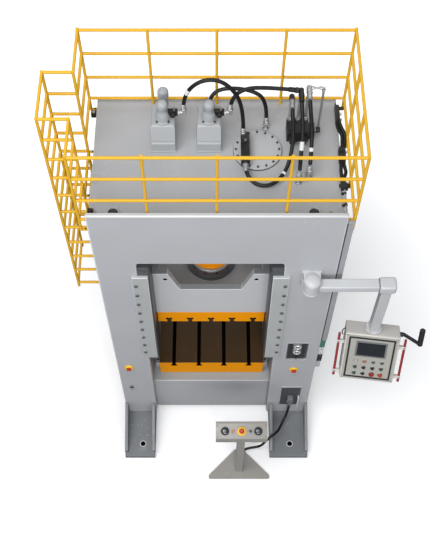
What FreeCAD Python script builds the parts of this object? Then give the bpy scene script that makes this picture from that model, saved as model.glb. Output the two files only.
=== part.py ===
import FreeCAD, Part
import math
import os
import Sketcher

# A portal-frame hydraulic press with a guided slide, a railed deck, a caged ladder,
# a swinging control pendant and a free-standing two-hand console.
# Millimetres. +Z is up, -Y is the operator's side, and the origin is on the floor,
# midway between the anchor holes.

V = FreeCAD.Vector

SIZES = {
    # pieces welded into one solid reach this far into each other
    "weld": 1,
    # welded frame
    "half_width": 1000,
    "half_depth": 650,
    "portal_plate": 40,
    "side_plate": 25,
    "frame_top": 4095,
    "deck_top": 3910,
    "deck_plate": 20,
    "axis_x": -52,
    "window_half": 612,
    "window_top": 3376,
    "window_corner": 30,
    "crown_floor": 40,
    "deck_margin": 5,
    # feet
    "foot_plate": 60,
    "foot_reach": 519,
    "left_foot_width": 327,
    "right_foot_width": 415,
    "gusset": 30,
    "gusset_top": 340,
    "gusset_toe": 130,
    "gusset_setback": 40,
    "anchor_x": 810,
    "anchor_inset": 141,
    "anchor_radius": 22,
    # bed and bolster
    "bed_top": 751,
    "bed_plate": 60,
    "bed_web": 30,
    "bed_half_depth": 566,
    "bed_clearance": 40,
    "bolster_half": 545,
    "table_half_depth": 470,
    "bolster_height": 245,
    "bolster_slot_pitch": 262,
    "slot_throat": 36,
    "slot_head": 60,
    "slot_depth": 75,
    "slot_head_height": 32,
    "clamp_width": 45,
    "clamp_depth": 110,
    "clamp_height": 90,
    # slide and its guides
    "slide_half": 512,
    "slide_bottom": 1970,
    "slide_plate": 190,
    "slide_plate_inset": 7,
    "slide_slot_pitch": 200,
    "slide_floor": 2350,
    "slide_wall": 60,
    "slide_top": 2892,
    "notch_floor": 2611,
    "notch_half": 279,
    "lug_width": 136,
    "lug_hole": 20,
    "lug_hole_drop": 99,
    "lug_hole_inset": 108,
    "guide_gap": 0.3,
    "guide_depth": 260,
    "guide_bottom": 1500,
    "guide_top": 3300,
    "gib_inner": 524,
    "gib_width": 141,
    "gib_plate": 30,
    "gib_bottom": 1595,
    "gib_top": 3192,
    "gib_screw_radius": 13,
    "gib_screw_head": 10,
    "gib_screw_inset": 32,
    # cylinder
    "cylinder_radius": 215,
    "cylinder_head": 70,
    "cylinder_top": 3820,
    "gland_radius": 200,
    "gland_height": 80,
    "gland_bottom": 2500,
    "rod_radius": 140,
    "rod_clearance": 0.05,
    "piston_radius": 164.9,
    "piston_height": 120,
    "piston_top": 3700,
    "flange_radius": 235,
    "flange_height": 70,
    "collar_radius": 190,
    "collar_height": 30,
    # railing and ladder cage
    "rail_tube": 30,
    "rail_half_width": 1060,
    "rail_front": 592,
    "rail_rear": 605,
    "rail_height": 867,
    "rail_mid": 580,
    "rail_low": 305,
    "rail_toe": 47,
    "foot_lug": 12,
    "post_drop": 90,
    "cage_out": 1290,
    "cage_front": 257,
    "cage_rear": 180,
    "cage_pitch": 240,
    "cage_bottom": 2300,
    "stile_bottom": 250,
    "low_lug_rise": 150,
    "high_lug_drop": 120,
    "rung": 24,
    "rung_pitch": 280,
    "rung_start": 168,
    # deck equipment
    "housing_width": 190,
    "housing_front": 95,
    "housing_depth": 270,
    "housing_base": 110,
    "housing_lip": 12,
    "housing_height": 250,
    "housing_slope": 55,
    "left_housing_x": -428,
    "right_housing_x": -62,
    "cap_radius": 44,
    "cap_y": 235,
    "cap_rise": 455,
    "cap_crown": 14,
    "cover_x": 329,
    "cover_y": 103,
    "cover_radius": 195,
    "cover_height": 22,
    "rail_block_offset": 101,
    "rail_block_setback": 174,
    "rail_block_width": 70,
    "rail_block_depth": 290,
    "rail_block_height": 85,
    "cover_cap_inset": 91,
    "cover_cap_height": 13,
    "manifold_x": 566,
    "manifold_y": 195,
    "manifold_width": 176,
    "manifold_depth": 154,
    "manifold_height": 120,
    "stub_height": 420,
    "valve_drop": 150,
    "valve_width": 78,
    "valve_depth": 40,
    "valve_height": 50,
    "valve_knob": 22,
    "valve_knob_height": 26,
    "elbow_reach": 46,
    "elbow_rise": 45,
    "manifold_step": 100,
    "manifold_step_length": 50,
    "manifold_step_height": 95,
    "manifold_knob": 24,
    "manifold_knob_length": 46,
    "coil_length": 60,
    "port_block": 46,
    "port_y": 480,
    "riser_a_x": 590,
    "riser_a_rise": 423,
    "riser_b_x": 657,
    "riser_b_rise": 497,
    "riser_c_x": 717,
    "riser_c_rise": 528,
    "cross_pipe": 11,
    "cross_x": 832,
    "flange_b_x": 647,
    "flange_b_y": -200,
    "flange_c_x": 732,
    "flange_c_y": -140,
    "flange_cover_x": 403,
    "flange_cover_y": 345,
    "flange_foot": 32,
    "flange_thick": 14,
    "flange_neck": 60,
    "hose": 16,
    "ferrule": 20,
    "lifting_radius": 38,
    "lifting_wall": 14,
    "lifting_height": 26,
    "lifting_setback": 150,
    "left_lifting_x": -808,
    "right_lifting_x": 759,
    # services on the right side
    "duct_width": 55,
    "duct_bottom": 1900,
    "duct_top": 3990,
    "duct_setback": 10,
    "duct_depth": 28,
    "unit_bottom": 1420,
    "unit_depth": 60,
    "unit_step": 6,
    "unit_bracket": 140,
    "edge_seat": 22,
    "edge_plate_y": 363,
    "edge_plate_length": 188,
    "edge_plate_width": 10,
    "edge_plate_height": 60,
    "edge_valve_y": -27,
    "edge_valve_length": 120,
    "edge_valve_width": 55,
    "edge_valve_height": 70,
    "edge_bracket_y": -290,
    "edge_bracket_length": 60,
    "edge_bracket_height": 40,
    # leg controls
    "estop_base": 45,
    "estop_base_height": 18,
    "estop_gap": 7,
    "estop_head": 29,
    "estop_head_height": 20,
    "estop_stem": 12,
    "estop_travel": 6,
    "left_estop_x": -885,
    "left_estop_z": 1286,
    "right_estop_x": 786,
    "right_estop_z": 1241,
    "lock_x": -894,
    "lock_z": 799,
    "panel_x": 787,
    "panel_z": 1660,
    "panel_width": 200,
    "panel_height": 400,
    "panel_sheet": 10,
    "panel_recess": 20,
    "panel_frame": 12,
    "frame_proud": 4,
    "knob_rise": 57,
    "knob_radius": 17,
    "knob_height": 14,
    "knob_shaft": 5,
    "silver_socket": 18,
    "silver_offset": 50,
    "silver_rise": 80,
    "socket_x": 797,
    "socket_z": 537,
    "socket_width": 230,
    "socket_height": 500,
    "socket_sheet": 8,
    "plug_width": 60,
    "plug_height": 150,
    "plug_top": 570,
    "plug_gland": 18,
    "plug_gland_height": 80,
    "handle_inset": 34,
    "handle_reach": 34,
    "handle_width": 14,
    "handle_bottom": 320,
    "handle_top": 560,
    # pendant arm
    "arm_pivot_inset": 210,
    "arm_reach_y": 100,
    "arm_z": 3200,
    "arm_length": 630,
    "arm_tube": 92,
    "arm_height": 76,
    "pivot_radius": 80,
    "knuckle_relief": 2,
    "pivot_height": 150,
    "pivot_pin": 25,
    "bracket_plate": 20,
    "bracket_half": 95,
    "pin_clearance": 0.05,
    "drop_radius": 46,
    "elbow_radius": 68,
    "pendant_top": 2379,
    "swivel_radius": 72,
    "swivel_height": 46,
    "spigot_radius": 30,
    "spigot_height": 80,
    # pendant box, in its own tilted frame
    "pendant_width": 490,
    "pendant_height": 515,
    "pendant_depth": 210,
    "pendant_corner": 12,
    "pendant_tilt": 28,
    "pendant_turn": 7,
    "gasket_half": 210,
    "gasket_top": 32,
    "gasket_bottom": 486,
    "gasket_width": 12,
    "gasket_height": 5,
    "screen_half": 141,
    "screen_top": 72,
    "screen_bottom": 242,
    "screen_frame": 6,
    "button_pitch": 80,
    "button_row": 69,
    "button_top_row": 297,
    "button_radius": 15,
    "large_mushroom": 24,
    "small_mushroom": 19,
    "mushroom_height": 8,
    "button_well": 12,
    "button_proud": 13,
    "button_travel": 4,
    "lamp_proud": 9,
    "bar_radius": 12,
    "bar_x": 298,
    "bar_y": 60,
    "bar_top": 35,
    "bar_length": 485,
    "clamp_top": 127,
    "clamp_drop": 335,
    "clamp_size": 30,
    "lever_x": 285,
    "lever_drop": 27,
    "lever_reach": 440,
    "lever_fall": 115,
    "lever_bar": 16,
    "lever_grip": 14,
    "lever_grip_height": 185,
    "lever_hub": 22,
    # two-hand console
    "console_x": 248,
    "console_y": -1290,
    "console_base": 15,
    "console_base_half": 330,
    "console_base_front": 118,
    "console_base_rear": 215,
    "console_base_nose": 40,
    "console_column": 80,
    "console_head_half": 255,
    "console_head_bottom": 1090,
    "console_lip": 105,
    "console_slope": 45,
    "console_panel": 140,
    "console_ledge": 25,
    "palm_radius": 34,
    "palm_collar": 40,
    "palm_collar_height": 14,
    "palm_proud": 26,
    "palm_spacing": 164,
    "lamp_x": 88,
    "lamp_radius": 15,
    "button_collar": 4,
    "cord": 11,
}


class Size:
    """A length with its formula in terms of the sheet's cells."""

    def __init__(self, value, text):
        self.value = float(value)
        self.text = text

    def join(self, other, sign, result):
        other_text = other.text if isinstance(other, Size) else repr(float(other))
        return Size(result, "(%s %s %s)" % (self.text, sign, other_text))

    def __float__(self):
        return self.value

    def __neg__(self):
        return Size(-self.value, "(0 - %s)" % self.text)

    def __add__(self, other):
        return self.join(other, "+", self.value + float(other))

    def __sub__(self, other):
        return self.join(other, "-", self.value - float(other))

    def __mul__(self, other):
        return self.join(other, "*", self.value * float(other))

    def __truediv__(self, other):
        return self.join(other, "/", self.value / float(other))

    def __radd__(self, other):
        return constant(other) + self

    def __rsub__(self, other):
        return constant(other) - self

    def __rmul__(self, other):
        return constant(other) * self


def constant(number):
    return Size(number, repr(float(number)))


class Sheet:
    """The driving dimensions as a spreadsheet, each cell read by its alias."""

    def __init__(self, doc):
        cells = doc.addObject("Spreadsheet::Sheet", "Sizes")
        for row, (alias, number) in enumerate(SIZES.items(), start=1):
            cells.set("A%d" % row, alias)
            cells.set("B%d" % row, str(number))
            cells.setAlias("B%d" % row, alias)
            setattr(self, alias, Size(number, "Sizes." + alias))


doc = FreeCAD.newDocument("HydraulicPress")
S = Sheet(doc)
doc.recompute()
NODES = []


def bind(obj, prop, size):
    if isinstance(size, Size):
        obj.setExpression(prop, size.text)
        return
    obj.setExpression(prop, repr(float(size)))


def place(obj, corner, rotation=None):
    if rotation is not None:
        obj.Placement = FreeCAD.Placement(V(0, 0, 0), rotation)
    for letter, size in zip("xyz", corner):
        bind(obj, "Placement.Base." + letter, size)


def block(name, low, high):
    """A rectangular block between two opposite corners."""
    obj = doc.addObject("Part::Box", name)
    for prop, start, end in zip(("Length", "Width", "Height"), low, high):
        bind(obj, prop, end - start)
    place(obj, low)
    return obj


TURNS = {
    "+z": FreeCAD.Rotation(),
    "-z": FreeCAD.Rotation(V(1, 0, 0), 180),
    "+x": FreeCAD.Rotation(V(0, 1, 0), 90),
    "-x": FreeCAD.Rotation(V(0, 1, 0), -90),
    "+y": FreeCAD.Rotation(V(1, 0, 0), -90),
    "-y": FreeCAD.Rotation(V(1, 0, 0), 90),
}


def cylinder(name, start, direction, radius, length):
    obj = doc.addObject("Part::Cylinder", name)
    bind(obj, "Radius", radius)
    bind(obj, "Height", length)
    place(obj, start, TURNS[direction])
    return obj


TURNED = 32
ROUND = 16
SMALL_ROUND = 8
PIPE_SIDES = 6
HOSE_SIDES = 5


def prism(name, start, direction, radius, length, sides=8):
    """A small round piece as a regular prism, measured across its corners."""
    obj = doc.addObject("Part::Prism", name)
    obj.Polygon = int(sides)
    bind(obj, "Circumradius", radius)
    bind(obj, "Height", length)
    place(obj, start, TURNS[direction])
    return obj


def clear_of(radius, clearance, sides=ROUND):
    """Circumradius of a many-sided bore whose flats clear a pin by the given amount."""
    return (radius + clearance) * (1 / math.cos(math.pi / sides))


def ring(name, start, direction, outer, bore, height, sides=12):
    blank = prism(name + "Outer", start, direction, outer, height, sides)
    hole = prism(name + "Bore", start, direction, clear_of(bore, 0, sides), height, sides)
    return cut(name, blank, [hole])


def fuse(name, members):
    obj = doc.addObject("Part::MultiFuse", name)
    obj.Shapes = members
    obj.Refine = True
    return obj


def cut(name, base, tools):
    tool = tools[0] if len(tools) == 1 else fuse(name + "Tools", tools)
    obj = doc.addObject("Part::Cut", name)
    obj.Base = base
    obj.Tool = tool
    return obj


def group(name, members):
    """Separate solids that share one node."""
    obj = doc.addObject("Part::Compound", name)
    obj.Links = members
    return obj


def node(obj, label):
    obj.Label = label
    NODES.append(obj)
    return obj


def new_body(name):
    return doc.addObject("PartDesign::Body", name)


def sketch(body, name, plane, offset=None):
    obj = body.newObject("Sketcher::SketchObject", name)
    origin_plane = [f for f in body.Origin.OriginFeatures if f.Role == plane][0]
    obj.AttachmentSupport = [(origin_plane, "")]
    obj.MapMode = "FlatFace"
    if offset is not None:
        bind(obj, "AttachmentOffset.Base.z", offset)
    return obj


def outline(profile, points):
    """A closed outline of straight edges, each corner dimensioned from the origin."""
    count = len(points)
    first = profile.GeometryCount
    for k in range(count):
        a = points[k]
        b = points[(k + 1) % count]
        start = V(float(a[0]), float(a[1]), 0)
        profile.addGeometry(Part.LineSegment(start, V(float(b[0]), float(b[1]), 0)), False)
    for k in range(count):
        following = first + (k + 1) % count
        profile.addConstraint(Sketcher.Constraint("Coincident", first + k, 2, following, 1))
    for k, corner in enumerate(points):
        for kind, size in zip(("DistanceX", "DistanceY"), corner):
            item = Sketcher.Constraint(kind, -1, 1, first + k, 1, float(size))
            number = profile.addConstraint(item)
            if isinstance(size, Size):
                profile.setExpression("Constraints[%d]" % number, size.text)


def pad(body, name, profile, length, midplane=False, reverse=False):
    obj = body.newObject("PartDesign::Pad", name)
    obj.Profile = profile
    bind(obj, "Length", length)
    obj.Midplane = midplane
    obj.Reversed = reverse
    return obj


def pocket(body, name, profile, length, midplane=True):
    obj = body.newObject("PartDesign::Pocket", name)
    obj.Profile = profile
    bind(obj, "Length", length)
    obj.Midplane = midplane
    return obj


def fillet(body, name, base, edges, radius):
    obj = body.newObject("PartDesign::Fillet", name)
    obj.Base = (base, edges)
    bind(obj, "Radius", radius)
    return obj


NEAR = 1.0  # how close an edge lies to the line it is looked for on


def edges_where(shape, test):
    return ["Edge%d" % (k + 1) for k, edge in enumerate(shape.Edges) if test(edge)]


# ---------------------------------------------------------------- welded frame

LEFT_INNER = S.axis_x - S.window_half
RIGHT_INNER = S.axis_x + S.window_half
FRONT = -S.half_depth
REAR = S.half_depth
INNER_FRONT = FRONT + S.portal_plate
INNER_REAR = REAR - S.portal_plate


def portal(label, front_face, top, plane_sign):
    """An upright plate with the tall window cut out of it, open down to the floor plates."""
    body = new_body(label)
    profile = sketch(body, label + "Outline", "XZ_Plane", offset=-front_face)
    outline(profile, [
        (-S.half_width, S.foot_plate),
        (LEFT_INNER, S.foot_plate),
        (LEFT_INNER, S.window_top),
        (RIGHT_INNER, S.window_top),
        (RIGHT_INNER, S.foot_plate),
        (S.half_width, S.foot_plate),
        (S.half_width, top),
        (-S.half_width, top),
    ])
    plate = pad(body, label + "Plate", profile, S.portal_plate, reverse=plane_sign)
    doc.recompute()
    window_top = float(S.window_top)
    half = float(S.window_half) + NEAR

    def window_corner(edge):
        middle = edge.CenterOfMass
        across = abs(edge.tangentAt(edge.FirstParameter).y) > 0.99
        return across and abs(middle.z - window_top) < NEAR and abs(middle.x - float(S.axis_x)) < half

    fillet(body, label + "Corners", plate, edges_where(plate.Shape, window_corner), S.window_corner)
    if label == "front_plate":
        left = S.panel_x - S.panel_width / 2
        low = S.panel_z - S.panel_height / 2
        right = left + S.panel_width
        recess = sketch(body, "PanelOpening", "XZ_Plane", offset=-front_face)
        high = low + S.panel_height
        outline(recess, [(left, low), (right, low), (right, high), (left, high)])
        pocket(body, "PanelOpeningCut", recess, (S.portal_plate + S.weld) * 2)
    return node(body, label)


def frame_walls():
    low = S.foot_plate
    top = S.deck_top - S.deck_plate
    walls = []
    spans = (
        (-S.half_width, -S.half_width + S.side_plate),
        (LEFT_INNER - S.side_plate, LEFT_INNER),
        (RIGHT_INNER, RIGHT_INNER + S.side_plate),
        (S.half_width - S.side_plate, S.half_width),
    )
    for k, (start, end) in enumerate(spans):
        walls.append(block("Wall%d" % k, (start, INNER_FRONT, low), (end, INNER_REAR, top)))
    return node(group("SideWalls", walls), "side_walls")


def crown():
    floor = block("CrownFloor", (LEFT_INNER, INNER_FRONT, S.window_top),
                  (RIGHT_INNER, INNER_REAR, S.window_top + S.crown_floor))
    hole = on_axis("CylinderSeat", S.cylinder_radius, S.window_top, S.window_top + S.crown_floor)
    node(cut("CrownFloorPlate", floor, [hole]), "crown_floor")
    deck = block("Deck", (-S.half_width, INNER_FRONT, S.deck_top - S.deck_plate),
                 (S.half_width, REAR - S.deck_margin, S.deck_top))
    node(deck, "deck_plate")


def foot(name, side, end, width):
    """Half of a floor plate, from mid-depth out, with its anchor hole and two tapered gussets."""
    face = S.half_depth * end
    reach = face + S.foot_reach * end
    outer = S.half_width * side
    inner = (S.half_width - width) * side
    x = sorted((outer, inner), key=float)
    y = sorted((reach, constant(0)), key=float)
    plate = block(name + "Plate", (x[0], y[0], constant(0)), (x[1], y[1], S.foot_plate))
    hole_y = reach - S.anchor_inset * end
    hole = cylinder(name + "Hole", (S.anchor_x * side, hole_y, 0), "+z", S.anchor_radius, S.foot_plate)
    ribs = []
    for k, start in enumerate((x[0], x[1] - S.gusset)):
        body = new_body("%sGusset%d" % (name, k))
        profile = sketch(body, "%sGussetOutline%d" % (name, k), "YZ_Plane", offset=start)
        toe = reach - S.gusset_setback * end
        outline(profile, [
            (face, S.foot_plate),
            (face, S.gusset_top),
            (face + S.gusset_setback * end, S.gusset_top),
            (toe, S.gusset_toe),
            (toe, S.foot_plate),
        ])
        pad(body, "%sGussetPad%d" % (name, k), profile, S.gusset)
        ribs.append(body)
    return fuse(name, [cut(name + "Drilled", plate, [hole])] + ribs)


def feet():
    parts = []
    for side, width in ((-1, S.left_foot_width), (1, S.right_foot_width)):
        for end in (-1, 1):
            name = "%s%sFoot" % ("Left" if side < 0 else "Right", "Front" if end < 0 else "Rear")
            parts.append(foot(name, side, end, width))
    return node(group("Feet", parts), "feet")


def bed():
    """Bed plate on a front and a rear web, between the inner walls."""
    underside = S.bed_top - S.bed_plate
    top = block("BedTop", (LEFT_INNER, -S.bed_half_depth, underside),
                (RIGHT_INNER, S.bed_half_depth, S.bed_top))
    webs = []
    for k, start in enumerate((-S.bed_half_depth, S.bed_half_depth - S.bed_web)):
        webs.append(block("BedWeb%d" % k, (LEFT_INNER, start, S.bed_clearance),
                          (RIGHT_INNER, start + S.bed_web, underside)))
    return node(fuse("Bed", [top] + webs), "bed")


# ---------------------------------------------------------- T-slotted tables

def slotted_table(label, half, low, high, pitch, count, mouth_up):
    """A thick table with T-slots that run from front to back."""
    body = new_body(label)
    base = sketch(body, label + "Outline", "XZ_Plane")
    left = S.axis_x - half
    right = S.axis_x + half
    outline(base, [(left, low), (right, low), (right, high), (left, high)])
    pad(body, label + "Block", base, S.table_half_depth * 2, midplane=True)
    face = high if mouth_up else low
    sign = 1 if mouth_up else -1
    slots = sketch(body, label + "Slots", "XZ_Plane")
    for k in range(count):
        x = S.axis_x + pitch * (k - (count - 1) / 2)
        neck = face - (S.slot_depth - S.slot_head_height) * sign
        deep = face - S.slot_depth * sign
        outline(slots, [
            (x - S.slot_throat / 2, face),
            (x - S.slot_throat / 2, neck),
            (x - S.slot_head / 2, neck),
            (x - S.slot_head / 2, deep),
            (x + S.slot_head / 2, deep),
            (x + S.slot_head / 2, neck),
            (x + S.slot_throat / 2, neck),
            (x + S.slot_throat / 2, face),
        ])
    pocket(body, label + "SlotCut", slots, S.table_half_depth * 2 + S.weld * 2)
    return node(body, label)


def bolster_clamps():
    parts = []
    edge = S.bolster_half
    for side in (-1, 1):
        for end in (-1, 1):
            x = sorted((S.axis_x + edge * side, S.axis_x + (edge + S.clamp_width) * side), key=float)
            middle = (S.table_half_depth - S.clamp_depth) * end
            low = (x[0], middle - S.clamp_depth / 2, S.bed_top)
            high = (x[1], middle + S.clamp_depth / 2, S.bed_top + S.clamp_height)
            parts.append(block("Clamp%d%d" % (side + 1, end + 1), low, high))
    return node(group("BolsterClamps", parts), "bolster_clamps")


# ------------------------------------------------------------ slide and guides

def slide():
    """A welded tub: a floor block, end walls with lugs either side of a notch, and side walls."""
    body = new_body("SlideTub")
    left = S.axis_x - S.slide_half
    right = S.axis_x + S.slide_half
    bottom = S.slide_bottom + S.slide_plate
    front = sketch(body, "SlideProfile", "XZ_Plane")
    outline(front, [
        (left, bottom),
        (right, bottom),
        (right, S.slide_top),
        (right - S.lug_width, S.slide_top),
        (S.axis_x + S.notch_half, S.notch_floor),
        (S.axis_x - S.notch_half, S.notch_floor),
        (left + S.lug_width, S.slide_top),
        (left, S.slide_top),
    ])
    pad(body, "SlideBlock", front, S.table_half_depth * 2, midplane=True)
    well = sketch(body, "SlideWell", "XY_Plane", offset=S.slide_floor)
    inner_y = S.table_half_depth - S.slide_wall
    outline(well, [
        (left + S.slide_wall, -inner_y),
        (right - S.slide_wall, -inner_y),
        (right - S.slide_wall, inner_y),
        (left + S.slide_wall, inner_y),
    ])
    hollow = pocket(body, "SlideHollow", well, S.slide_top - S.slide_floor, midplane=False)
    hollow.Reversed = True
    holes = []
    for side in (-1, 1):
        x = S.axis_x + (S.slide_half - S.lug_hole_inset) * side
        at = (x, -S.table_half_depth, S.slide_top - S.lug_hole_drop)
        holes.append(prism("LugHole%d" % (side + 1), at, "+y", S.lug_hole, S.table_half_depth * 2))
    return node(cut("SlideBored", body, holes), "slide_body")


def guides():
    """Four vertical guide rails on the inner walls."""
    parts = []
    face = S.slide_half + S.guide_gap
    for side in (-1, 1):
        x = sorted((S.axis_x + face * side, S.axis_x + S.window_half * side), key=float)
        spans = ((FRONT, FRONT + S.guide_depth), (INNER_REAR - S.guide_depth, INNER_REAR))
        for k, (start, end) in enumerate(spans):
            low = (x[0], start, S.guide_bottom)
            parts.append(block("Guide%d%d" % (side + 1, k), low, (x[1], end, S.guide_top)))
    node(group("GuideRails", parts), "guide_rails")


GIB_SCREWS = 9
GIB_END = 0.8  # from a plate's end to its first screw, in pitches


def gibs():
    plates = []
    for side in (-1, 1):
        inner = S.axis_x + S.gib_inner * side
        outer = S.axis_x + (S.gib_inner + S.gib_width) * side
        x = sorted((inner, outer), key=float)
        low = (x[0], FRONT - S.gib_plate, S.gib_bottom)
        plates.append(block("Gib%d" % (side + 1), low, (x[1], FRONT, S.gib_top)))
    node(group("GibPlates", plates), "gib_plates")


def cap_screws():
    """Cap screws of the two gib plates."""
    parts = []
    pitch = (S.gib_top - S.gib_bottom) / (GIB_SCREWS - 1 + GIB_END * 2)
    for side in (-1, 1):
        x = S.axis_x + (S.gib_inner + S.gib_width - S.gib_screw_inset) * side
        for k in range(GIB_SCREWS):
            z = S.gib_bottom + pitch * (k + GIB_END)
            start = (x, FRONT - S.gib_plate, z)
            name = "GibScrew%d_%d" % (side + 1, k)
            parts.append(prism(name, start, "-y", S.gib_screw_radius, S.gib_screw_head, 6))
    node(group("CapScrews", parts), "cap_screws")


# ----------------------------------------------------------------- cylinder

def on_axis(name, radius, low, high):
    """A turned form on the press axis, drawn with TURNED flats that all line up."""
    return prism(name, (S.axis_x, 0, low), "+z", radius, high - low, TURNED)


def hydraulic_cylinder():
    seat = S.gland_bottom + S.gland_height
    barrel = on_axis("CylinderTube", S.cylinder_radius, seat, S.cylinder_top)
    bore = on_axis("CylinderBore", S.piston_radius + S.rod_clearance, seat, S.cylinder_top - S.cylinder_head)
    node(cut("CylinderBarrel", barrel, [bore]), "cylinder")
    gland = on_axis("GlandRing", S.gland_radius, S.gland_bottom, seat)
    hole = on_axis("GlandHole", S.rod_radius + S.rod_clearance, S.gland_bottom, seat)
    node(cut("Gland", gland, [hole]), "gland_ring")
    rod = on_axis("Rod", S.rod_radius, S.slide_floor, S.piston_top)
    piston = on_axis("Piston", S.piston_radius, S.piston_top - S.piston_height, S.piston_top)
    node(fuse("PistonRod", [rod, piston]), "piston_rod")
    collar_seat = S.slide_floor + S.flange_height
    flange = on_axis("FlangeDisc", S.flange_radius, S.slide_floor, collar_seat)
    collar = on_axis("FlangeCollar", S.collar_radius, collar_seat, collar_seat + S.collar_height)
    opening = on_axis("FlangeHole", S.rod_radius, S.slide_floor, collar_seat + S.collar_height)
    node(cut("RodFlange", fuse("FlangeBlank", [flange, collar]), [opening]), "rod_flange")


# ------------------------------------------------------- railing and cage

BAYS = 4
SIDE_BAYS = 3


def rail_levels():
    heights = (S.rail_toe, S.rail_low, S.rail_mid, S.rail_height - S.rail_tube)
    return [S.deck_top + height for height in heights]


def upright(name, x, y, bottom, top):
    half = S.rail_tube / 2
    return block(name, (x - half, y - half, bottom), (x + half, y + half, top))


def side_lug(name, side, y, bottom):
    """The flat lug that carries a side post off the wall."""
    half = S.rail_tube / 2
    x = sorted((S.half_width * side, (S.rail_half_width - half) * side), key=float)
    return block(name, (x[0], y - half, bottom), (x[1], y + half, bottom + S.foot_lug))


def railing():
    parts = []
    half = S.rail_tube / 2
    top = S.deck_top + S.rail_height
    foot = S.deck_top - S.post_drop
    inner = S.rail_half_width - half
    # front and rear rows: corner posts off the side walls, deck posts just inside the long rails
    for row, y, inward in (("Front", -S.rail_front, 1), ("Rear", S.rail_rear, -1)):
        for side, corner_x in ((-1, -S.rail_half_width), (1, S.rail_half_width)):
            parts.append(upright("%sCorner%d" % (row, side + 1), corner_x, y, foot, top))
            parts.append(side_lug("%sLug%d" % (row, side + 1), side, y, foot))
        for k in range(1, BAYS):
            x = S.rail_half_width * (k * 2 / BAYS - 1)
            parts.append(upright("%sPost%d" % (row, k), x, y + S.rail_tube * inward, S.deck_top, top))
        for level, z in enumerate(rail_levels()):
            low = (-inner, y - half, z)
            parts.append(block("%sRail%d" % (row, level), low, (inner, y + half, z + S.rail_tube)))
    # right side
    span = (S.rail_rear + S.rail_front) / SIDE_BAYS
    ys = [-S.rail_front + span * k for k in range(SIDE_BAYS + 1)]
    for k in range(1, SIDE_BAYS):
        parts.append(upright("RightPost%d" % k, S.rail_half_width, ys[k], foot, top))
        parts.append(side_lug("RightLug%d" % k, 1, ys[k], foot))
    runs = [("Right", inner, ys[k], ys[k + 1]) for k in range(SIDE_BAYS)]
    runs.append(("LeftFront", -inner - S.rail_tube, -S.rail_front, -S.cage_front))
    runs.append(("LeftRear", -inner - S.rail_tube, S.cage_rear, S.rail_rear))
    for k, (name, x, start, end) in enumerate(runs):
        for level, z in enumerate(rail_levels()):
            low = (x, start + half, z)
            high = (x + S.rail_tube, end - half, z + S.rail_tube)
            parts.append(block("%sRun%d_%d" % (name, k, level), low, high))
    node(group("Railing", parts), "railing")


def ladder_cage():
    """The ladder's stiles and rungs, and the square safety cage round it."""
    parts = []
    half = S.rail_tube / 2
    top = S.deck_top + S.rail_height
    span = (-S.cage_front, S.cage_rear)
    for k, y in enumerate(span):
        parts.append(upright("Stile%d" % k, -S.rail_half_width, y, S.stile_bottom, top))
        parts.append(upright("CagePost%d" % k, -S.cage_out, y, S.cage_bottom, top))
        lug_levels = (S.stile_bottom + S.low_lug_rise, S.cage_bottom, S.deck_top - S.high_lug_drop)
        for step, z in enumerate(lug_levels):
            parts.append(side_lug("StileLug%d_%d" % (k, step), -1, y, z))
    hoops = int((float(top) - float(S.cage_bottom)) / float(S.cage_pitch)) + 1
    for k in range(hoops):
        z = top - S.rail_tube - S.cage_pitch * k
        for row, y in enumerate(span):
            low = (-S.cage_out + half, y - half, z)
            high = (-S.rail_half_width - half, y + half, z + S.rail_tube)
            parts.append(block("Hoop%d_%d" % (k, row), low, high))
        low = (-S.cage_out - half, span[0] + half, z)
        high = (-S.cage_out + half, span[1] - half, z + S.rail_tube)
        parts.append(block("HoopSide%d" % k, low, high))
    rungs = int((float(S.deck_top) - float(S.stile_bottom)) / float(S.rung_pitch))
    for k in range(rungs):
        z = S.stile_bottom + S.rung_start + S.rung_pitch * k
        low = (-S.rail_half_width - S.rung / 2, span[0] + half, z)
        parts.append(block("Rung%d" % k, low, (-S.rail_half_width + S.rung / 2, span[1] - half, z + S.rung)))
    node(group("LadderCage", parts), "ladder_cage")


# ------------------------------------------------------- equipment on the deck

CAP_TOP = S.deck_top + S.cap_rise
RAIL_BLOCK_X = S.cover_x - S.rail_block_offset
RAIL_BLOCK_Y = S.cover_y - S.rail_block_setback


def housing(name, x):
    """A cast pump housing: a lipped base and a body with a sloped front and rounded corners."""
    body = new_body(name)
    front = S.housing_front
    rear = S.housing_front + S.housing_depth
    deck = S.deck_top
    shoulder = deck + S.housing_base
    side = sketch(body, name + "Side", "YZ_Plane", offset=x - S.housing_width / 2)
    outline(side, [
        (front, deck),
        (rear, deck),
        (rear, deck + S.housing_height),
        (front + S.housing_lip + S.housing_slope, deck + S.housing_height),
        (front + S.housing_lip, shoulder + S.housing_lip),
        (front + S.housing_lip, shoulder),
        (front, shoulder - S.housing_lip),
    ])
    solid = pad(body, name + "Cast", side, S.housing_width)
    doc.recompute()
    upper = float(deck) + float(S.housing_height)

    def soft_edge(edge):
        middle = edge.CenterOfMass
        long_enough = edge.Length > float(S.housing_lip) * 2
        return long_enough and abs(middle.z - upper) < NEAR and abs(middle.y - float(rear)) > NEAR

    soften = body.newObject("PartDesign::Chamfer", name + "Soft")
    soften.Base = (solid, edges_where(solid.Shape, soft_edge))
    bind(soften, "Size", S.housing_lip)
    return body


def pump_housings():
    parts = [housing("LeftHousing", S.left_housing_x), housing("RightHousing", S.right_housing_x)]
    node(group("PumpHousings", parts), "pump_housings")


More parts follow.
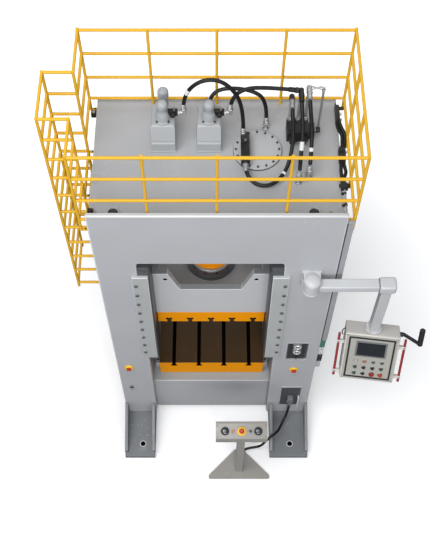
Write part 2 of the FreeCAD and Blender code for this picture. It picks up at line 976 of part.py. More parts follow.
def housing_caps():
    """The round caps on the housings and the pipe stub behind the left one."""
    parts = []
    seat = S.deck_top + S.housing_height
    for name, x in (("Left", S.left_housing_x), ("Right", S.right_housing_x)):
        wall = CAP_TOP - S.cap_crown - seat
        stem = prism(name + "CapWall", (x, S.cap_y, seat), "+z", S.cap_radius, wall, 12)
        lid_radius = S.cap_radius - S.cap_crown
        lid = prism(name + "CapLid", (x, S.cap_y, seat + wall), "+z", lid_radius, S.cap_crown, 12)
        parts.append(fuse(name + "Cap", [stem, lid]))
    stub_y = S.housing_front + S.housing_depth + S.cap_radius
    stub_at = (S.left_housing_x, stub_y, S.deck_top)
    parts.append(prism("PipeStub", stub_at, "+z", S.cap_radius, S.stub_height, 12))
    node(group("HousingCaps", parts), "housing_caps")


def stop_valves():
    """A black stop valve on the right of each cap."""
    parts = []
    for name, x in (("Left", S.left_housing_x), ("Right", S.right_housing_x)):
        start = x + S.cap_radius - S.weld
        bottom = CAP_TOP - S.valve_drop
        low = (start, S.cap_y - S.valve_depth / 2, bottom)
        high = (start + S.valve_width, S.cap_y + S.valve_depth / 2, bottom + S.valve_height)
        stop = block(name + "ValveBody", low, high)
        at = (start + S.valve_width / 2, low[1] - S.valve_knob_height, bottom + S.valve_height / 2)
        knob = prism(name + "ValveKnob", at, "+y", S.valve_knob, S.valve_knob_height)
        bite = prism(name + "ValveBite", (x, S.cap_y, bottom), "+z", S.cap_radius, S.valve_height, 12)
        parts.append(cut(name + "Valve", fuse(name + "ValveBlank", [stop, knob]), [bite]))
    node(group("StopValves", parts), "stop_valves")


def tank_cover():
    at = (S.cover_x, S.cover_y, S.deck_top)
    return node(prism("TankCover", at, "+z", S.cover_radius, S.cover_height, TURNED), "tank_cover")


def manifolds():
    """The long black block on the tank cover, the valve manifold beside it and the left port block."""
    seat = S.deck_top + S.cover_height
    half = S.rail_block_width / 2
    low = (RAIL_BLOCK_X - half, RAIL_BLOCK_Y, seat)
    high = (RAIL_BLOCK_X + half, RAIL_BLOCK_Y + S.rail_block_depth, seat + S.rail_block_height)
    cover_block = block("CoverBlock", low, high)
    cap_at = (RAIL_BLOCK_X, high[1] - S.cover_cap_inset, high[2])
    cap = prism("CoverBlockCap", cap_at, "+z", S.manifold_knob, S.cover_cap_height, 12)
    low = (S.manifold_x, S.manifold_y, S.deck_top)
    high = (S.manifold_x + S.manifold_width, S.manifold_y + S.manifold_depth, S.deck_top + S.manifold_height)
    main = block("MainBlock", low, high)
    step_depth = (S.manifold_depth - S.manifold_step) / 2
    step_top = S.deck_top + S.manifold_step_height
    step = block("StepBlock", (high[0], low[1] + step_depth, S.deck_top),
                 (high[0] + S.manifold_step_length, high[1] - step_depth, step_top))
    knob_at = (high[0] + S.manifold_step_length, (low[1] + high[1]) / 2, S.deck_top + S.manifold_height / 2)
    knob = prism("ManifoldKnob", knob_at, "+x", S.manifold_knob, S.manifold_knob_length)
    coils = []
    for k in (1, 3):
        start = (S.manifold_x + S.manifold_width * k / 4, S.manifold_y, S.deck_top + S.manifold_height / 2)
        coils.append(prism("ValveCoil%d" % k, start, "-y", S.manifold_knob, S.coil_length))
    port_low = (-S.half_width - S.port_block, S.port_y, S.deck_top - S.port_block)
    port_high = (-S.half_width, S.port_y + S.port_block, S.deck_top)
    port = block("PortBlock", port_low, port_high)
    parts = [fuse("CoverManifold", [cover_block, cap]), fuse("MainManifold", [main, step, knob] + coils), port]
    node(group("Manifolds", parts), "manifolds")


def lifting_sockets():
    """Two short lifting sockets just behind the front plate."""
    parts = []
    y = FRONT + S.lifting_setback
    for name, x in (("Left", S.left_lifting_x), ("Right", S.right_lifting_x)):
        outer = S.lifting_radius + S.lifting_wall
        at = (x, y, S.deck_top)
        parts.append(ring(name + "Socket", at, "+z", outer, S.lifting_radius, S.lifting_height, 8))
    node(group("LiftingSockets", parts), "lifting_sockets")


# ------------------------------------------------------------ pipes and hoses

RISER_Y = S.manifold_y + S.manifold_depth - S.ferrule
RISER_C_TOP = S.deck_top + S.riser_c_rise
RISERS = (("A", S.riser_a_x, S.deck_top + S.riser_a_rise), ("B", S.riser_b_x, S.deck_top + S.riser_b_rise),
          ("C", S.riser_c_x, RISER_C_TOP))
DECK_FLANGES = (("B", S.flange_b_x, S.flange_b_y), ("C", S.flange_c_x, S.flange_c_y),
                ("Cover", S.flange_cover_x, S.flange_cover_y))


def pipe(name, start, direction, radius, length):
    return prism(name, start, direction, radius, length, PIPE_SIDES)


def pipe_fittings():
    """Risers, elbows, the cross pipe and the deck flanges that the hoses end in."""
    parts = []
    foot_z = S.deck_top + S.manifold_height
    for name, x, top in RISERS:
        riser = pipe("Riser" + name, (x, RISER_Y, foot_z), "+z", S.hose, top - foot_z)
        head = (x, RISER_Y + S.ferrule, top - S.ferrule)
        elbow = pipe("RiserHead" + name, head, "-y", S.ferrule, S.ferrule * 2 + S.hose)
        parts.append(fuse("RiserPipe" + name, [riser, elbow]))
    start_x = S.riser_c_x + S.hose
    level = RISER_C_TOP - S.ferrule
    run = pipe("CrossPipe", (start_x, RISER_Y, level), "+x", S.cross_pipe, S.cross_x - start_x)
    drop_length = level + S.cross_pipe - S.deck_top
    drop = pipe("CrossDrop", (S.cross_x, RISER_Y, S.deck_top), "+z", S.cross_pipe, drop_length)
    parts.append(fuse("CrossPipeRun", [run, drop]))
    for name, x, y in DECK_FLANGES:
        base = pipe("Flange" + name, (x, y, S.deck_top), "+z", S.flange_foot, S.flange_thick)
        neck = pipe("FlangeNeck" + name, (x, y, S.deck_top), "+z", S.ferrule, S.flange_neck)
        parts.append(fuse("DeckFlange" + name, [base, neck]))
    for name, x in (("Left", S.left_housing_x), ("Right", S.right_housing_x)):
        start = x + S.cap_radius + S.valve_width - S.weld
        middle = CAP_TOP - S.valve_drop + S.valve_height / 2
        arm = pipe("Elbow" + name, (start, S.cap_y, middle), "+x", S.ferrule, S.elbow_reach)
        rise = pipe("ElbowRise" + name, (start + S.elbow_reach, S.cap_y, middle - S.ferrule), "+z", S.ferrule,
                     S.elbow_rise)
        parts.append(fuse("ValveElbow" + name, [arm, rise]))
    node(group("PipeFittings", parts), "pipe_fittings")


HOSE_FACET = 32.0
CORD_FACET = 10.0


def bend_edges(entry, middle, leave, turn, facet):
    """One bend as short straight facets along its tangent arc, each of facet degrees at most."""
    arc = Part.Arc(entry, middle, leave).toShape()
    count = max(1, math.ceil(math.degrees(turn) / facet))
    stops = arc.discretize(Number=count + 1)
    return [Part.LineSegment(stops[k], stops[k + 1]).toShape() for k in range(count)]


def tube_path(points, facet):
    """Straight runs joined by tangent arcs, each as large as its two runs allow."""
    edges = []
    radii = []
    at = points[0]
    for k in range(1, len(points) - 1):
        before = points[k] - points[k - 1]
        after = points[k + 1] - points[k]
        turn = before.getAngle(after)
        reach = 0.45 * min(before.Length, after.Length)
        radii.append(reach / math.tan(turn / 2))
        entry = points[k] - before.normalize() * reach
        leave = points[k] + after.normalize() * reach
        side = (entry + leave) * 0.5 - points[k]
        centre = points[k] + side.normalize() * (radii[-1] / math.cos(turn / 2))
        middle = centre + (points[k] - centre).normalize() * radii[-1]
        edges.append(Part.LineSegment(at, entry).toShape())
        edges += bend_edges(entry, middle, leave, turn, facet)
        at = leave
    edges.append(Part.LineSegment(at, points[-1]).toShape())
    return Part.Wire(edges), radii


def tube_solid(name, points, radius, facet):
    """A many-sided tube along the route, with its length, radii and volume printed."""
    path, radii = tube_path(points, facet)
    start = (points[1] - points[0]).normalize()
    side = start.cross(V(0, 1, 0)) if abs(start.y) < 0.9 else start.cross(V(1, 0, 0))
    spoke = side.normalize() * radius
    corners = []
    for k in range(HOSE_SIDES + 1):
        turn = FreeCAD.Rotation(start, 360.0 * k / HOSE_SIDES)
        corners.append(points[0] + turn.multVec(spoke))
    section = Part.makePolygon(corners)
    solid = path.makePipeShell([section], True, False, 1)
    expected = Part.Face(section).Area * path.Length
    print("%s: length %.0f, radii %s, volume ratio %.4f"
          % (name, path.Length, " ".join("%.0f" % r for r in radii), solid.Volume / expected))
    return solid


def hose(label, routes, radius, facet):
    obj = doc.addObject("Part::Feature", label)
    solids = [tube_solid(label, [V(*p) for p in route], float(radius), facet) for route in routes]
    obj.Shape = solids[0] if len(solids) == 1 else Part.makeCompound(solids)
    return node(obj, label)


# The heights in these routes are measured from the top of the deck.
PUMP_LEFT_HOSE = [(-261, 235, 355), (-261, 235, 530), (-130, 244, 700), (55, 248, 690), (212, 200, 470),
                  (212, 200, 107)]
COVER_RETURN_HOSE = [(-62, 279, 352), (-62, 360, 352), (30, 405, 510), (250, 385, 540), (403, 345, 400),
                     (403, 345, 60)]
PUMP_RIGHT_HOSE = [(105, 235, 355), (105, 235, 470), (200, 305, 530), (400, 329, 515), (636, 329, 480)]
COVER_LOOP_HOSE = [(228, -71, 65), (228, -170, 65), (310, -262, 38), (440, -262, 35), (560, -130, 60),
                   (608, 60, 180), (590, 190, 403), (590, 293, 403)]
DROP_HOSE_B = [(657, 293, 477), (657, 200, 477), (674, 60, 280), (660, -80, 150), (647, -200, 140),
               (647, -200, 60)]
DROP_HOSE_C = [(717, 293, 508), (717, 200, 508), (745, 80, 290), (745, -20, 170), (732, -140, 150),
               (732, -140, 60)]
SIDE_HOSE = [(984, 363, 45), (984, 300, 45), (1018, 224, 56), (1013, 155, 35), (1013, 93, 35)]


def over_deck(route):
    """The route's points with the deck's own height added."""
    return [(x, y, float(S.deck_top) + z) for x, y, z in route]


def hoses():
    deck_routes = [PUMP_LEFT_HOSE, COVER_RETURN_HOSE, PUMP_RIGHT_HOSE, COVER_LOOP_HOSE]
    drop_routes = [DROP_HOSE_B, DROP_HOSE_C, SIDE_HOSE]
    hose("deck_hoses", [over_deck(route) for route in deck_routes], S.hose, HOSE_FACET)
    hose("drop_hoses", [over_deck(route) for route in drop_routes], S.hose, HOSE_FACET)


def side_services():
    """On the right side: the cable duct, the valve unit and its bracket, and the deck-edge fittings."""
    x = S.half_width
    front = FRONT + S.duct_setback
    rear = front + S.duct_depth
    parts = [block("Duct", (x, front, S.duct_bottom), (x + S.duct_width, rear, S.duct_top))]
    unit_step = (S.duct_bottom - S.unit_bottom) / 3
    for k, name in enumerate(("Black", "White", "Green")):
        bottom = S.unit_bottom + unit_step * k
        depth = S.unit_depth - S.unit_step * k
        low = (x, front, bottom)
        high = (x + S.duct_width - S.unit_step, front + depth, bottom + unit_step)
        parts.append(block("ValveUnit" + name, low, high))
    low = (x, front, S.unit_bottom - S.unit_bracket)
    parts.append(block("UnitBracket", low, (x + S.duct_width - S.unit_step * 2, rear, S.unit_bottom)))
    spans = (
        ("EdgePlate", S.edge_plate_y, S.edge_plate_length, S.edge_plate_width, S.edge_plate_height),
        ("EdgeValve", S.edge_valve_y, S.edge_valve_length, S.edge_valve_width, S.edge_valve_height),
        ("EdgeBracket", S.edge_bracket_y, S.edge_bracket_length, S.edge_valve_width, S.edge_bracket_height),
    )
    for name, y, length, width, height in spans:
        low = (x - S.edge_seat, y, S.deck_top)
        parts.append(block(name, low, (x - S.edge_seat + width, y + length, S.deck_top + height)))
    node(group("SideServices", parts), "side_services")


# --------------------------------------------------------------- leg controls

def estop_parts(name, at, direction):
    """A yellow ring and the mushroom head whose stem slides in its bore."""
    base = ring(name + "Ring", at, direction, S.estop_base, S.estop_stem + S.pin_clearance, S.estop_base_height)
    step = V(0, 0, 1)
    turn = TURNS[direction].multVec(step)
    shift = (turn.x, turn.y, turn.z)

    def along(distance):
        return tuple(axis + distance * sign for axis, sign in zip(at, shift))

    head_start = S.estop_base_height + S.estop_gap
    stem = prism(name + "Stem", along(S.estop_gap), direction, S.estop_stem, S.estop_base_height + S.weld)
    head = prism(name + "Head", along(head_start), direction, S.estop_head, S.estop_head_height, ROUND)
    return base, fuse(name + "Button", [stem, head])


def leg_controls():
    """The recessed panel, the socket plate, the lock and the emergency stops on the two legs."""
    left = S.panel_x - S.panel_width / 2
    right = S.panel_x + S.panel_width / 2
    low = S.panel_z - S.panel_height / 2
    high = S.panel_z + S.panel_height / 2
    board_front = FRONT + S.panel_recess
    board_rear = board_front + S.panel_sheet
    board = block("PanelBoard", (left, board_front, low), (right, board_rear, high))
    knob_z = high - S.panel_height + S.knob_rise
    bore = prism("KnobBore", (S.panel_x, board_front, knob_z), "+y", clear_of(S.knob_shaft, S.pin_clearance),
                 S.panel_sheet, ROUND)
    border = S.panel_frame
    frame_low = (left - border, FRONT - S.frame_proud, low - border)
    outer = block("FrameOuter", frame_low, (right + border, FRONT, high + border))
    inner = block("FrameInner", (left, FRONT - S.frame_proud, low), (right, FRONT, high))
    parts = [cut("PanelBoardBored", board, [bore]), cut("PanelFrame", outer, [inner])]
    for k in (-1, 1):
        at = (S.panel_x + S.silver_offset * k, board_front, S.panel_z + S.silver_rise)
        parts.append(prism("SilverSocket%d" % (k + 1), at, "-y", S.silver_socket, S.knob_height))
    half = S.socket_width / 2
    plate_front = FRONT - S.socket_sheet
    plate_low = (S.socket_x - half, plate_front, S.socket_z - S.socket_height / 2)
    plate_high = (S.socket_x + half, FRONT, S.socket_z + S.socket_height / 2)
    parts.append(block("SocketPlate", plate_low, plate_high))
    bar_x = S.socket_x + half - S.handle_inset
    bar = block("SmallHandle", (bar_x, plate_front - S.handle_reach, S.handle_bottom),
                (bar_x + S.handle_width, plate_front - S.handle_reach + S.handle_width, S.handle_top))
    ends = []
    for k, z in enumerate((S.handle_bottom, S.handle_top - S.handle_width)):
        ends.append(block("HandleEnd%d" % k, (bar_x, plate_front - S.handle_reach, z),
                          (bar_x + S.handle_width, plate_front, z + S.handle_width)))
    parts.append(fuse("SmallHandleWelded", [bar] + ends))
    parts.append(prism("LegLock", (S.lock_x, FRONT, S.lock_z), "-y", S.silver_socket, S.knob_height))
    node(group("LegPanels", parts), "leg_panels")

    rings = []
    for name, x, z in (("left", S.left_estop_x, S.left_estop_z), ("right", S.right_estop_x, S.right_estop_z)):
        base, button = estop_parts(name + "_leg", (x, FRONT, z), "-y")
        rings.append(base)
        node(button, name + "_leg_estop")
    node(group("EstopRings", rings), "estop_rings")

    shaft = cylinder("KnobShaft", (S.panel_x, board_rear, knob_z), "-y", S.knob_shaft, S.panel_sheet + S.weld)
    disc = prism("KnobDisc", (S.panel_x, board_front, knob_z), "-y", S.knob_radius, S.knob_height, ROUND)
    wing_low = (S.panel_x - S.knob_shaft, board_front - S.knob_height * 2, knob_z - S.knob_radius)
    wing_high = (S.panel_x + S.knob_shaft, board_front - S.knob_height, knob_z + S.knob_radius)
    wing = block("KnobWing", wing_low, wing_high)
    node(fuse("PanelKnob", [shaft, disc, wing]), "panel_knob")

    middle = plate_front - S.plug_width / 2
    bottom = S.plug_top - S.plug_height
    body = block("PlugBody", (S.socket_x - S.plug_width / 2, plate_front - S.plug_width, bottom),
                 (S.socket_x + S.plug_width / 2, plate_front, S.plug_top))
    gland = prism("PlugGland", (S.socket_x, middle, bottom - S.plug_gland_height), "+z", S.plug_gland,
                  S.plug_gland_height, 12)
    node(fuse("CordPlug", [body, gland]), "cord_plug")


CORD_ROUTE = [(797, -688, 340), (797, -688, 166), (717, -830, 103), (674, -955, 248), (539, -1049, 226),
              (492, -1063, 69), (317, -1077, 47), (248, -1153, 49), (248, -1250, 49)]


# ---------------------------------------------------------------- pendant arm

PIVOT_X = S.half_width - S.arm_pivot_inset
PIVOT_Y = FRONT - S.arm_reach_y
ARM_END_X = PIVOT_X + S.arm_length


def pendant_arm():
    """A bracket with two ears and a pin, and the swinging arm with its drop tube."""
    x = PIVOT_X
    half = S.bracket_half
    low = S.arm_z - half
    plate = block("BracketPlate", (x - half, FRONT - S.bracket_plate, low), (x + half, FRONT, S.arm_z + half))
    pieces = [plate]
    for k, bottom in enumerate((low, S.arm_z + half - S.bracket_plate)):
        ear = block("EarWeb%d" % k, (x - S.pivot_radius, PIVOT_Y, bottom),
                    (x + S.pivot_radius, FRONT - S.bracket_plate, bottom + S.bracket_plate))
        tip = prism("EarTip%d" % k, (x, PIVOT_Y, bottom), "+z", S.pivot_radius, S.bracket_plate, ROUND)
        pieces += [ear, tip]
    pin = cylinder("PivotPin", (x, PIVOT_Y, low), "+z", S.pivot_pin, half * 2)
    node(fuse("ArmBracket", pieces + [pin]), "arm_bracket")

    knuckle_low = S.arm_z - S.pivot_height / 2 + S.guide_gap
    knuckle_height = S.pivot_height - S.guide_gap * 2
    knuckle_radius = S.pivot_radius - S.knuckle_relief
    knuckle = prism("Knuckle", (x, PIVOT_Y, knuckle_low), "+z", knuckle_radius, knuckle_height, ROUND)
    tube = block("ArmTube", (x, PIVOT_Y - S.arm_tube / 2, S.arm_z - S.arm_height / 2),
                 (ARM_END_X, PIVOT_Y + S.arm_tube / 2, S.arm_z + S.arm_height / 2))
    elbow_at = (ARM_END_X, PIVOT_Y, S.arm_z - S.arm_tube / 2)
    elbow = prism("ArmElbow", elbow_at, "+z", S.elbow_radius, S.arm_tube, ROUND)
    drop_bottom = S.pendant_top + S.swivel_height
    drop_at = (ARM_END_X, PIVOT_Y, drop_bottom)
    drop = prism("DropTube", drop_at, "+z", S.drop_radius, S.arm_z - drop_bottom, ROUND)
    pin_bore = prism("PinBore", (x, PIVOT_Y, knuckle_low), "+z", clear_of(S.pivot_pin, S.pin_clearance),
                     knuckle_height, ROUND)
    socket = prism("SpigotBore", drop_at, "+z", clear_of(S.spigot_radius, S.pin_clearance),
                   S.spigot_height + S.weld, ROUND)
    node(cut("PendantArm", fuse("ArmBlank", [knuckle, tube, elbow, drop]), [pin_bore, socket]), "pendant_arm")


def in_pendant(name, members):
    """Pieces drawn in the pendant's own frame, tilted back and turned under the drop tube."""
    tilted = group(name + "Tilt", members)
    tilted.Placement = FreeCAD.Placement(V(0, 0, 0), FreeCAD.Rotation(V(1, 0, 0), -float(S.pendant_tilt)))
    bind(tilted, "Placement.Rotation.Angle", -S.pendant_tilt)
    turned = group(name, [tilted])
    place(turned, (ARM_END_X, PIVOT_Y, S.pendant_top), FreeCAD.Rotation(V(0, 0, 1), -float(S.pendant_turn)))
    bind(turned, "Placement.Rotation.Angle", -S.pendant_turn)
    return turned


FACE = -S.pendant_depth / 2
COLUMNS = (-1.5, -0.5, 0.5, 1.5)
PENDANT_BUTTONS = (
    ("pendant_jog_up", 0, 1, None),
    ("pendant_jog_down", 1, 1, None),
    ("pendant_hold", 2, 1, None),
    ("pendant_start", 3, 1, None),
    ("pendant_cycle", 0, 2, None),
    ("pendant_reset", 1, 2, None),
    ("pendant_stop", 2, 2, S.large_mushroom),
    ("pendant_release", 3, 2, S.small_mushroom),
)


def control_place(column, row):
    return S.button_pitch * COLUMNS[column], -S.button_top_row - S.button_row * row


def pendant_box():
    half = S.pendant_width / 2
    body = new_body("PendantShell")
    face = sketch(body, "PendantFace", "XZ_Plane", offset=FACE)
    cut_back = S.pendant_corner
    outline(face, [
        (-half, cut_back - S.pendant_height),
        (cut_back - half, -S.pendant_height),
        (half - cut_back, -S.pendant_height),
        (half, cut_back - S.pendant_height),
        (half, -cut_back),
        (half - cut_back, constant(0)),
        (cut_back - half, constant(0)),
        (-half, -cut_back),
    ])
    pad(body, "PendantBlock", face, S.pendant_depth, reverse=False)
    wells = []
    for label, column, row, mushroom in PENDANT_BUTTONS:
        x, z = control_place(column, row)
        bore = S.button_radius + S.pin_clearance
        well = prism(label + "Well", (x, FACE, z), "+y", bore, S.button_well, SMALL_ROUND)
        wells.append(well)
    pin = (half, constant(0), -S.lever_drop)
    wells.append(prism("LeverBore", pin, "-x", clear_of(S.knob_shaft, S.pin_clearance), S.button_well, ROUND))
    node(in_pendant("PendantBox", [cut("PendantBored", body, wells)]), "pendant_box")


def pendant_face():
    """The gasket round the face, the screen in its frame and the four lamps."""
    left = -S.gasket_half
    front = FACE - S.gasket_height
    outer = block("GasketOuter", (left, front, -S.gasket_bottom), (S.gasket_half, FACE, -S.gasket_top))
    wide = S.gasket_width
    inner = block("GasketInner", (left + wide, front, wide - S.gasket_bottom),
                  (S.gasket_half - wide, FACE, -S.gasket_top - wide))
    screen = block("Screen", (-S.screen_half, FACE - S.screen_frame, -S.screen_bottom),
                   (S.screen_half, FACE, -S.screen_top))
    node(in_pendant("PendantPanel", [cut("Gasket", outer, [inner]), screen]), "pendant_panel")
    lamps = []
    for column in range(len(COLUMNS)):
        x, z = control_place(column, 0)
        lamps.append(prism("Lamp%d" % column, (x, FACE, z), "-y", S.button_radius, S.lamp_proud, SMALL_ROUND))
    node(in_pendant("PendantLamps", lamps), "pendant_lamps")


def pendant_buttons():
    """Each plunger slides in its own well and the two mushrooms stand clear of the face."""
    for label, column, row, mushroom in PENDANT_BUTTONS:
        x, z = control_place(column, row)
        foot_y = FACE + S.button_well - S.button_travel - S.guide_gap
        length = foot_y - FACE + S.button_proud
        plunger = prism(label + "Plunger", (x, foot_y, z), "-y", S.button_radius, length, SMALL_ROUND)
        if mushroom is not None:
            start = FACE - S.button_proud + S.button_travel
            head = prism(label + "Head", (x, start, z), "-y", mushroom, S.mushroom_height, SMALL_ROUND)
            plunger = fuse(label + "Mushroom", [plunger, head])
        node(in_pendant(label + "_placed", [plunger]), label)


def pendant_handles():
    """A red bar in two clamps on each side of the box, and the black lever on its right."""
    parts = []
    edge = S.pendant_width / 2
    for side, name in ((-1, "Left"), (1, "Right")):
        bar = pipe(name + "Bar", (S.bar_x * side, -S.bar_y, -S.bar_top), "-z", S.bar_radius, S.bar_length)
        pieces = [bar]
        for k in range(2):
            x = sorted((edge * side, (S.bar_x + S.clamp_size / 2) * side), key=float)
            top = -S.clamp_top - S.clamp_drop * k + S.clamp_size / 2
            low = (x[0], -S.bar_y - S.clamp_size / 2, top - S.clamp_size)
            pieces.append(block("%sClamp%d" % (name, k), low, (x[1], -S.bar_y + S.clamp_size / 2, top)))
        parts.append(fuse(name + "Handle", pieces))
    node(in_pendant("HandleBars", parts), "handle_bars")

    body = new_body("LeverArm")
    arm = sketch(body, "LeverOutline", "XZ_Plane")
    half = S.lever_bar / 2
    outline(arm, [
        (edge + S.lever_hub, -S.lever_drop - half),
        (S.lever_x, -S.lever_drop - half),
        (S.lever_reach, -S.lever_fall - half),
        (S.lever_reach, -S.lever_fall + half),
        (S.lever_x, -S.lever_drop + half),
        (edge + S.lever_hub, -S.lever_drop + half),
    ])
    pad(body, "LeverPad", arm, S.lever_bar, midplane=True)
    hub_at = (edge + S.guide_gap, constant(0), -S.lever_drop)
    hub = prism("LeverHub", hub_at, "+x", S.lever_hub, S.lever_x - edge - half, SMALL_ROUND)
    pin_length = S.button_well - S.guide_gap
    shaft = cylinder("LeverPin", hub_at, "-x", S.knob_shaft, pin_length)
    grip_bottom = -S.lever_fall - S.lever_grip
    grip_at = (S.lever_reach, constant(0), grip_bottom)
    grip = prism("LeverGrip", grip_at, "+z", S.lever_grip, S.lever_grip_height)
    node(in_pendant("PendantLever", [fuse("LeverPieces", [hub, shaft, body, grip])]), "pendant_lever")


def pendant_flange():
    """The swivel flange, cut to the slope of the box, with a spigot up inside the drop tube."""
    top = S.pendant_top + S.swivel_height
    start = S.pendant_top - S.swivel_height
    disc = prism("SwivelDisc", (ARM_END_X, PIVOT_Y, start), "+z", S.swivel_radius, S.swivel_height * 2, ROUND)
    spigot = cylinder("Spigot", (ARM_END_X, PIVOT_Y, top - S.weld), "+z", S.spigot_radius,
                      S.spigot_height + S.weld)
    half = S.pendant_width / 2
    tool = block("FlangeTool", (-half, FACE, -S.pendant_height), (half, -FACE, constant(0)))
    placed = in_pendant("FlangeToolPlaced", [tool])
    node(cut("PendantFlange", fuse("FlangeBlankSwivel", [disc, spigot]), [placed]), "pendant_flange")


# ----------------------------------------------------------- two-hand console

def console():
    front = S.console_y - S.console_base_front
    rear = S.console_y + S.console_base_rear
    body = new_body("ConsoleBase")
    plate = sketch(body, "ConsoleBaseOutline", "XY_Plane")
    nose = S.console_base_nose
    outline(plate, [
        (S.console_x - S.console_base_half, front),
        (S.console_x + S.console_base_half, front),
        (S.console_x + S.console_base_half, front + nose),
        (S.console_x + nose, rear),
        (S.console_x - nose, rear),
        (S.console_x - S.console_base_half, front + nose),
    ])
    pad(body, "ConsoleBasePad", plate, S.console_base)
    half = S.console_column / 2
    column = block("ConsoleColumn", (S.console_x - half, S.console_y - half, S.console_base),
                   (S.console_x + half, S.console_y + half, S.console_head_bottom))
    node(fuse("ConsoleStand", [body, column]), "console_stand")

    head_front = S.console_y - (S.console_panel + S.console_ledge) / 2
    head_rear = head_front + S.console_panel + S.console_ledge
    bottom = S.console_head_bottom
    head = new_body("ConsoleHeadShell")
    side = sketch(head, "ConsoleHeadSide", "YZ_Plane", offset=S.console_x - S.console_head_half)
    outline(side, [
        (head_front, bottom),
        (head_rear, bottom),
        (head_rear, bottom + S.console_lip + S.console_slope),
        (head_front + S.console_panel, bottom + S.console_lip + S.console_slope),
        (head_front, bottom + S.console_lip),
    ])
    pad(head, "ConsoleHeadPad", side, S.console_head_half * 2)

    origin = (S.console_x, head_front + S.console_panel / 2, bottom + S.console_lip + S.console_slope / 2)
    slope = math.degrees(math.atan(float(S.console_slope) / float(S.console_panel)))
    angle = Size(slope, "atan(Sizes.console_slope / Sizes.console_panel)")

    def on_panel(name, members):
        tilted = group(name, members)
        place(tilted, origin, FreeCAD.Rotation(V(1, 0, 0), slope))
        bind(tilted, "Placement.Rotation.Angle", angle)
        return tilted

    zero = constant(0)
    rings = []
    spots = (("left", -S.palm_spacing), ("right", S.palm_spacing))
    for name, x in spots:
        at = (x, zero, zero)
        bore = S.palm_radius + S.pin_clearance
        rings.append(ring(name + "PalmRing", at, "+z", S.palm_collar, bore, S.palm_collar_height))
        lift = S.estop_travel + S.guide_gap
        palm = prism(name + "Palm", (x, zero, lift), "+z", S.palm_radius, S.palm_proud, ROUND)
        node(on_panel(name + "PalmPlaced", [palm]), name + "_palm_button")
    base, button = estop_parts("console", (zero, zero, zero), "+z")
    node(on_panel("ConsoleEstop", [button]), "console_estop")
    spot = (S.lamp_x, zero, zero)
    bore = S.lamp_radius + S.pin_clearance
    rings += [base, ring("ConsoleButtonRing", spot, "+z", S.lamp_radius + S.button_collar, bore, S.button_well)]
    lift = S.button_travel + S.guide_gap
    push = prism("ConsolePush", (S.lamp_x, zero, lift), "+z", S.lamp_radius, S.button_well, ROUND)
    node(on_panel("ConsolePushPlaced", [push]), "console_button")
    node(group("ConsoleHead", [head, on_panel("ConsoleRings", rings)]), "console_head")
    lamp = prism("ConsoleLampLens", (-S.lamp_x, zero, zero), "+z", S.lamp_radius, S.button_well, ROUND)
    node(on_panel("ConsoleLamp", [lamp]), "console_lamp")


def finish():
    doc.recompute()
    os.makedirs("parts", exist_ok=True)
    for obj in doc.Objects:
        if "Invalid" in obj.State or "Error" in obj.State:
            raise RuntimeError("failed object: " + obj.Label)
    for obj in NODES:
        if obj.Shape.isNull() or not obj.Shape.isValid():
            raise RuntimeError("bad shape: " + obj.Label)
    for obj in NODES:
        obj.Shape.exportStep("parts/%s.step" % obj.Label)
    print("nodes", len(NODES), "solids", sum(len(obj.Shape.Solids) for obj in NODES))


portal("front_plate", FRONT, S.frame_top, True)
portal("rear_plate", INNER_REAR, S.deck_top - S.deck_plate, True)
frame_walls()
crown()
feet()
bed()
slotted_table("bolster", S.bolster_half, S.bed_top, S.bed_top + S.bolster_height, S.bolster_slot_pitch, 4, True)
bolster_clamps()
slide()
slotted_table("slide_plate", S.slide_half - S.slide_plate_inset, S.slide_bottom, S.slide_bottom + S.slide_plate,
              S.slide_slot_pitch, 5, False)
guides()
gibs()
cap_screws()
hydraulic_cylinder()
railing()
ladder_cage()
pump_housings()
housing_caps()
stop_valves()
tank_cover()
manifolds()
lifting_sockets()
pipe_fittings()
hoses()
side_services()
leg_controls()
hose("control_cord", [CORD_ROUTE], S.cord, CORD_FACET)
pendant_arm()
pendant_box()
pendant_face()
pendant_buttons()
pendant_handles()
pendant_flange()
console()
finish()
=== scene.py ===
import math
import bmesh
import bpy
from mathutils import Matrix, Vector

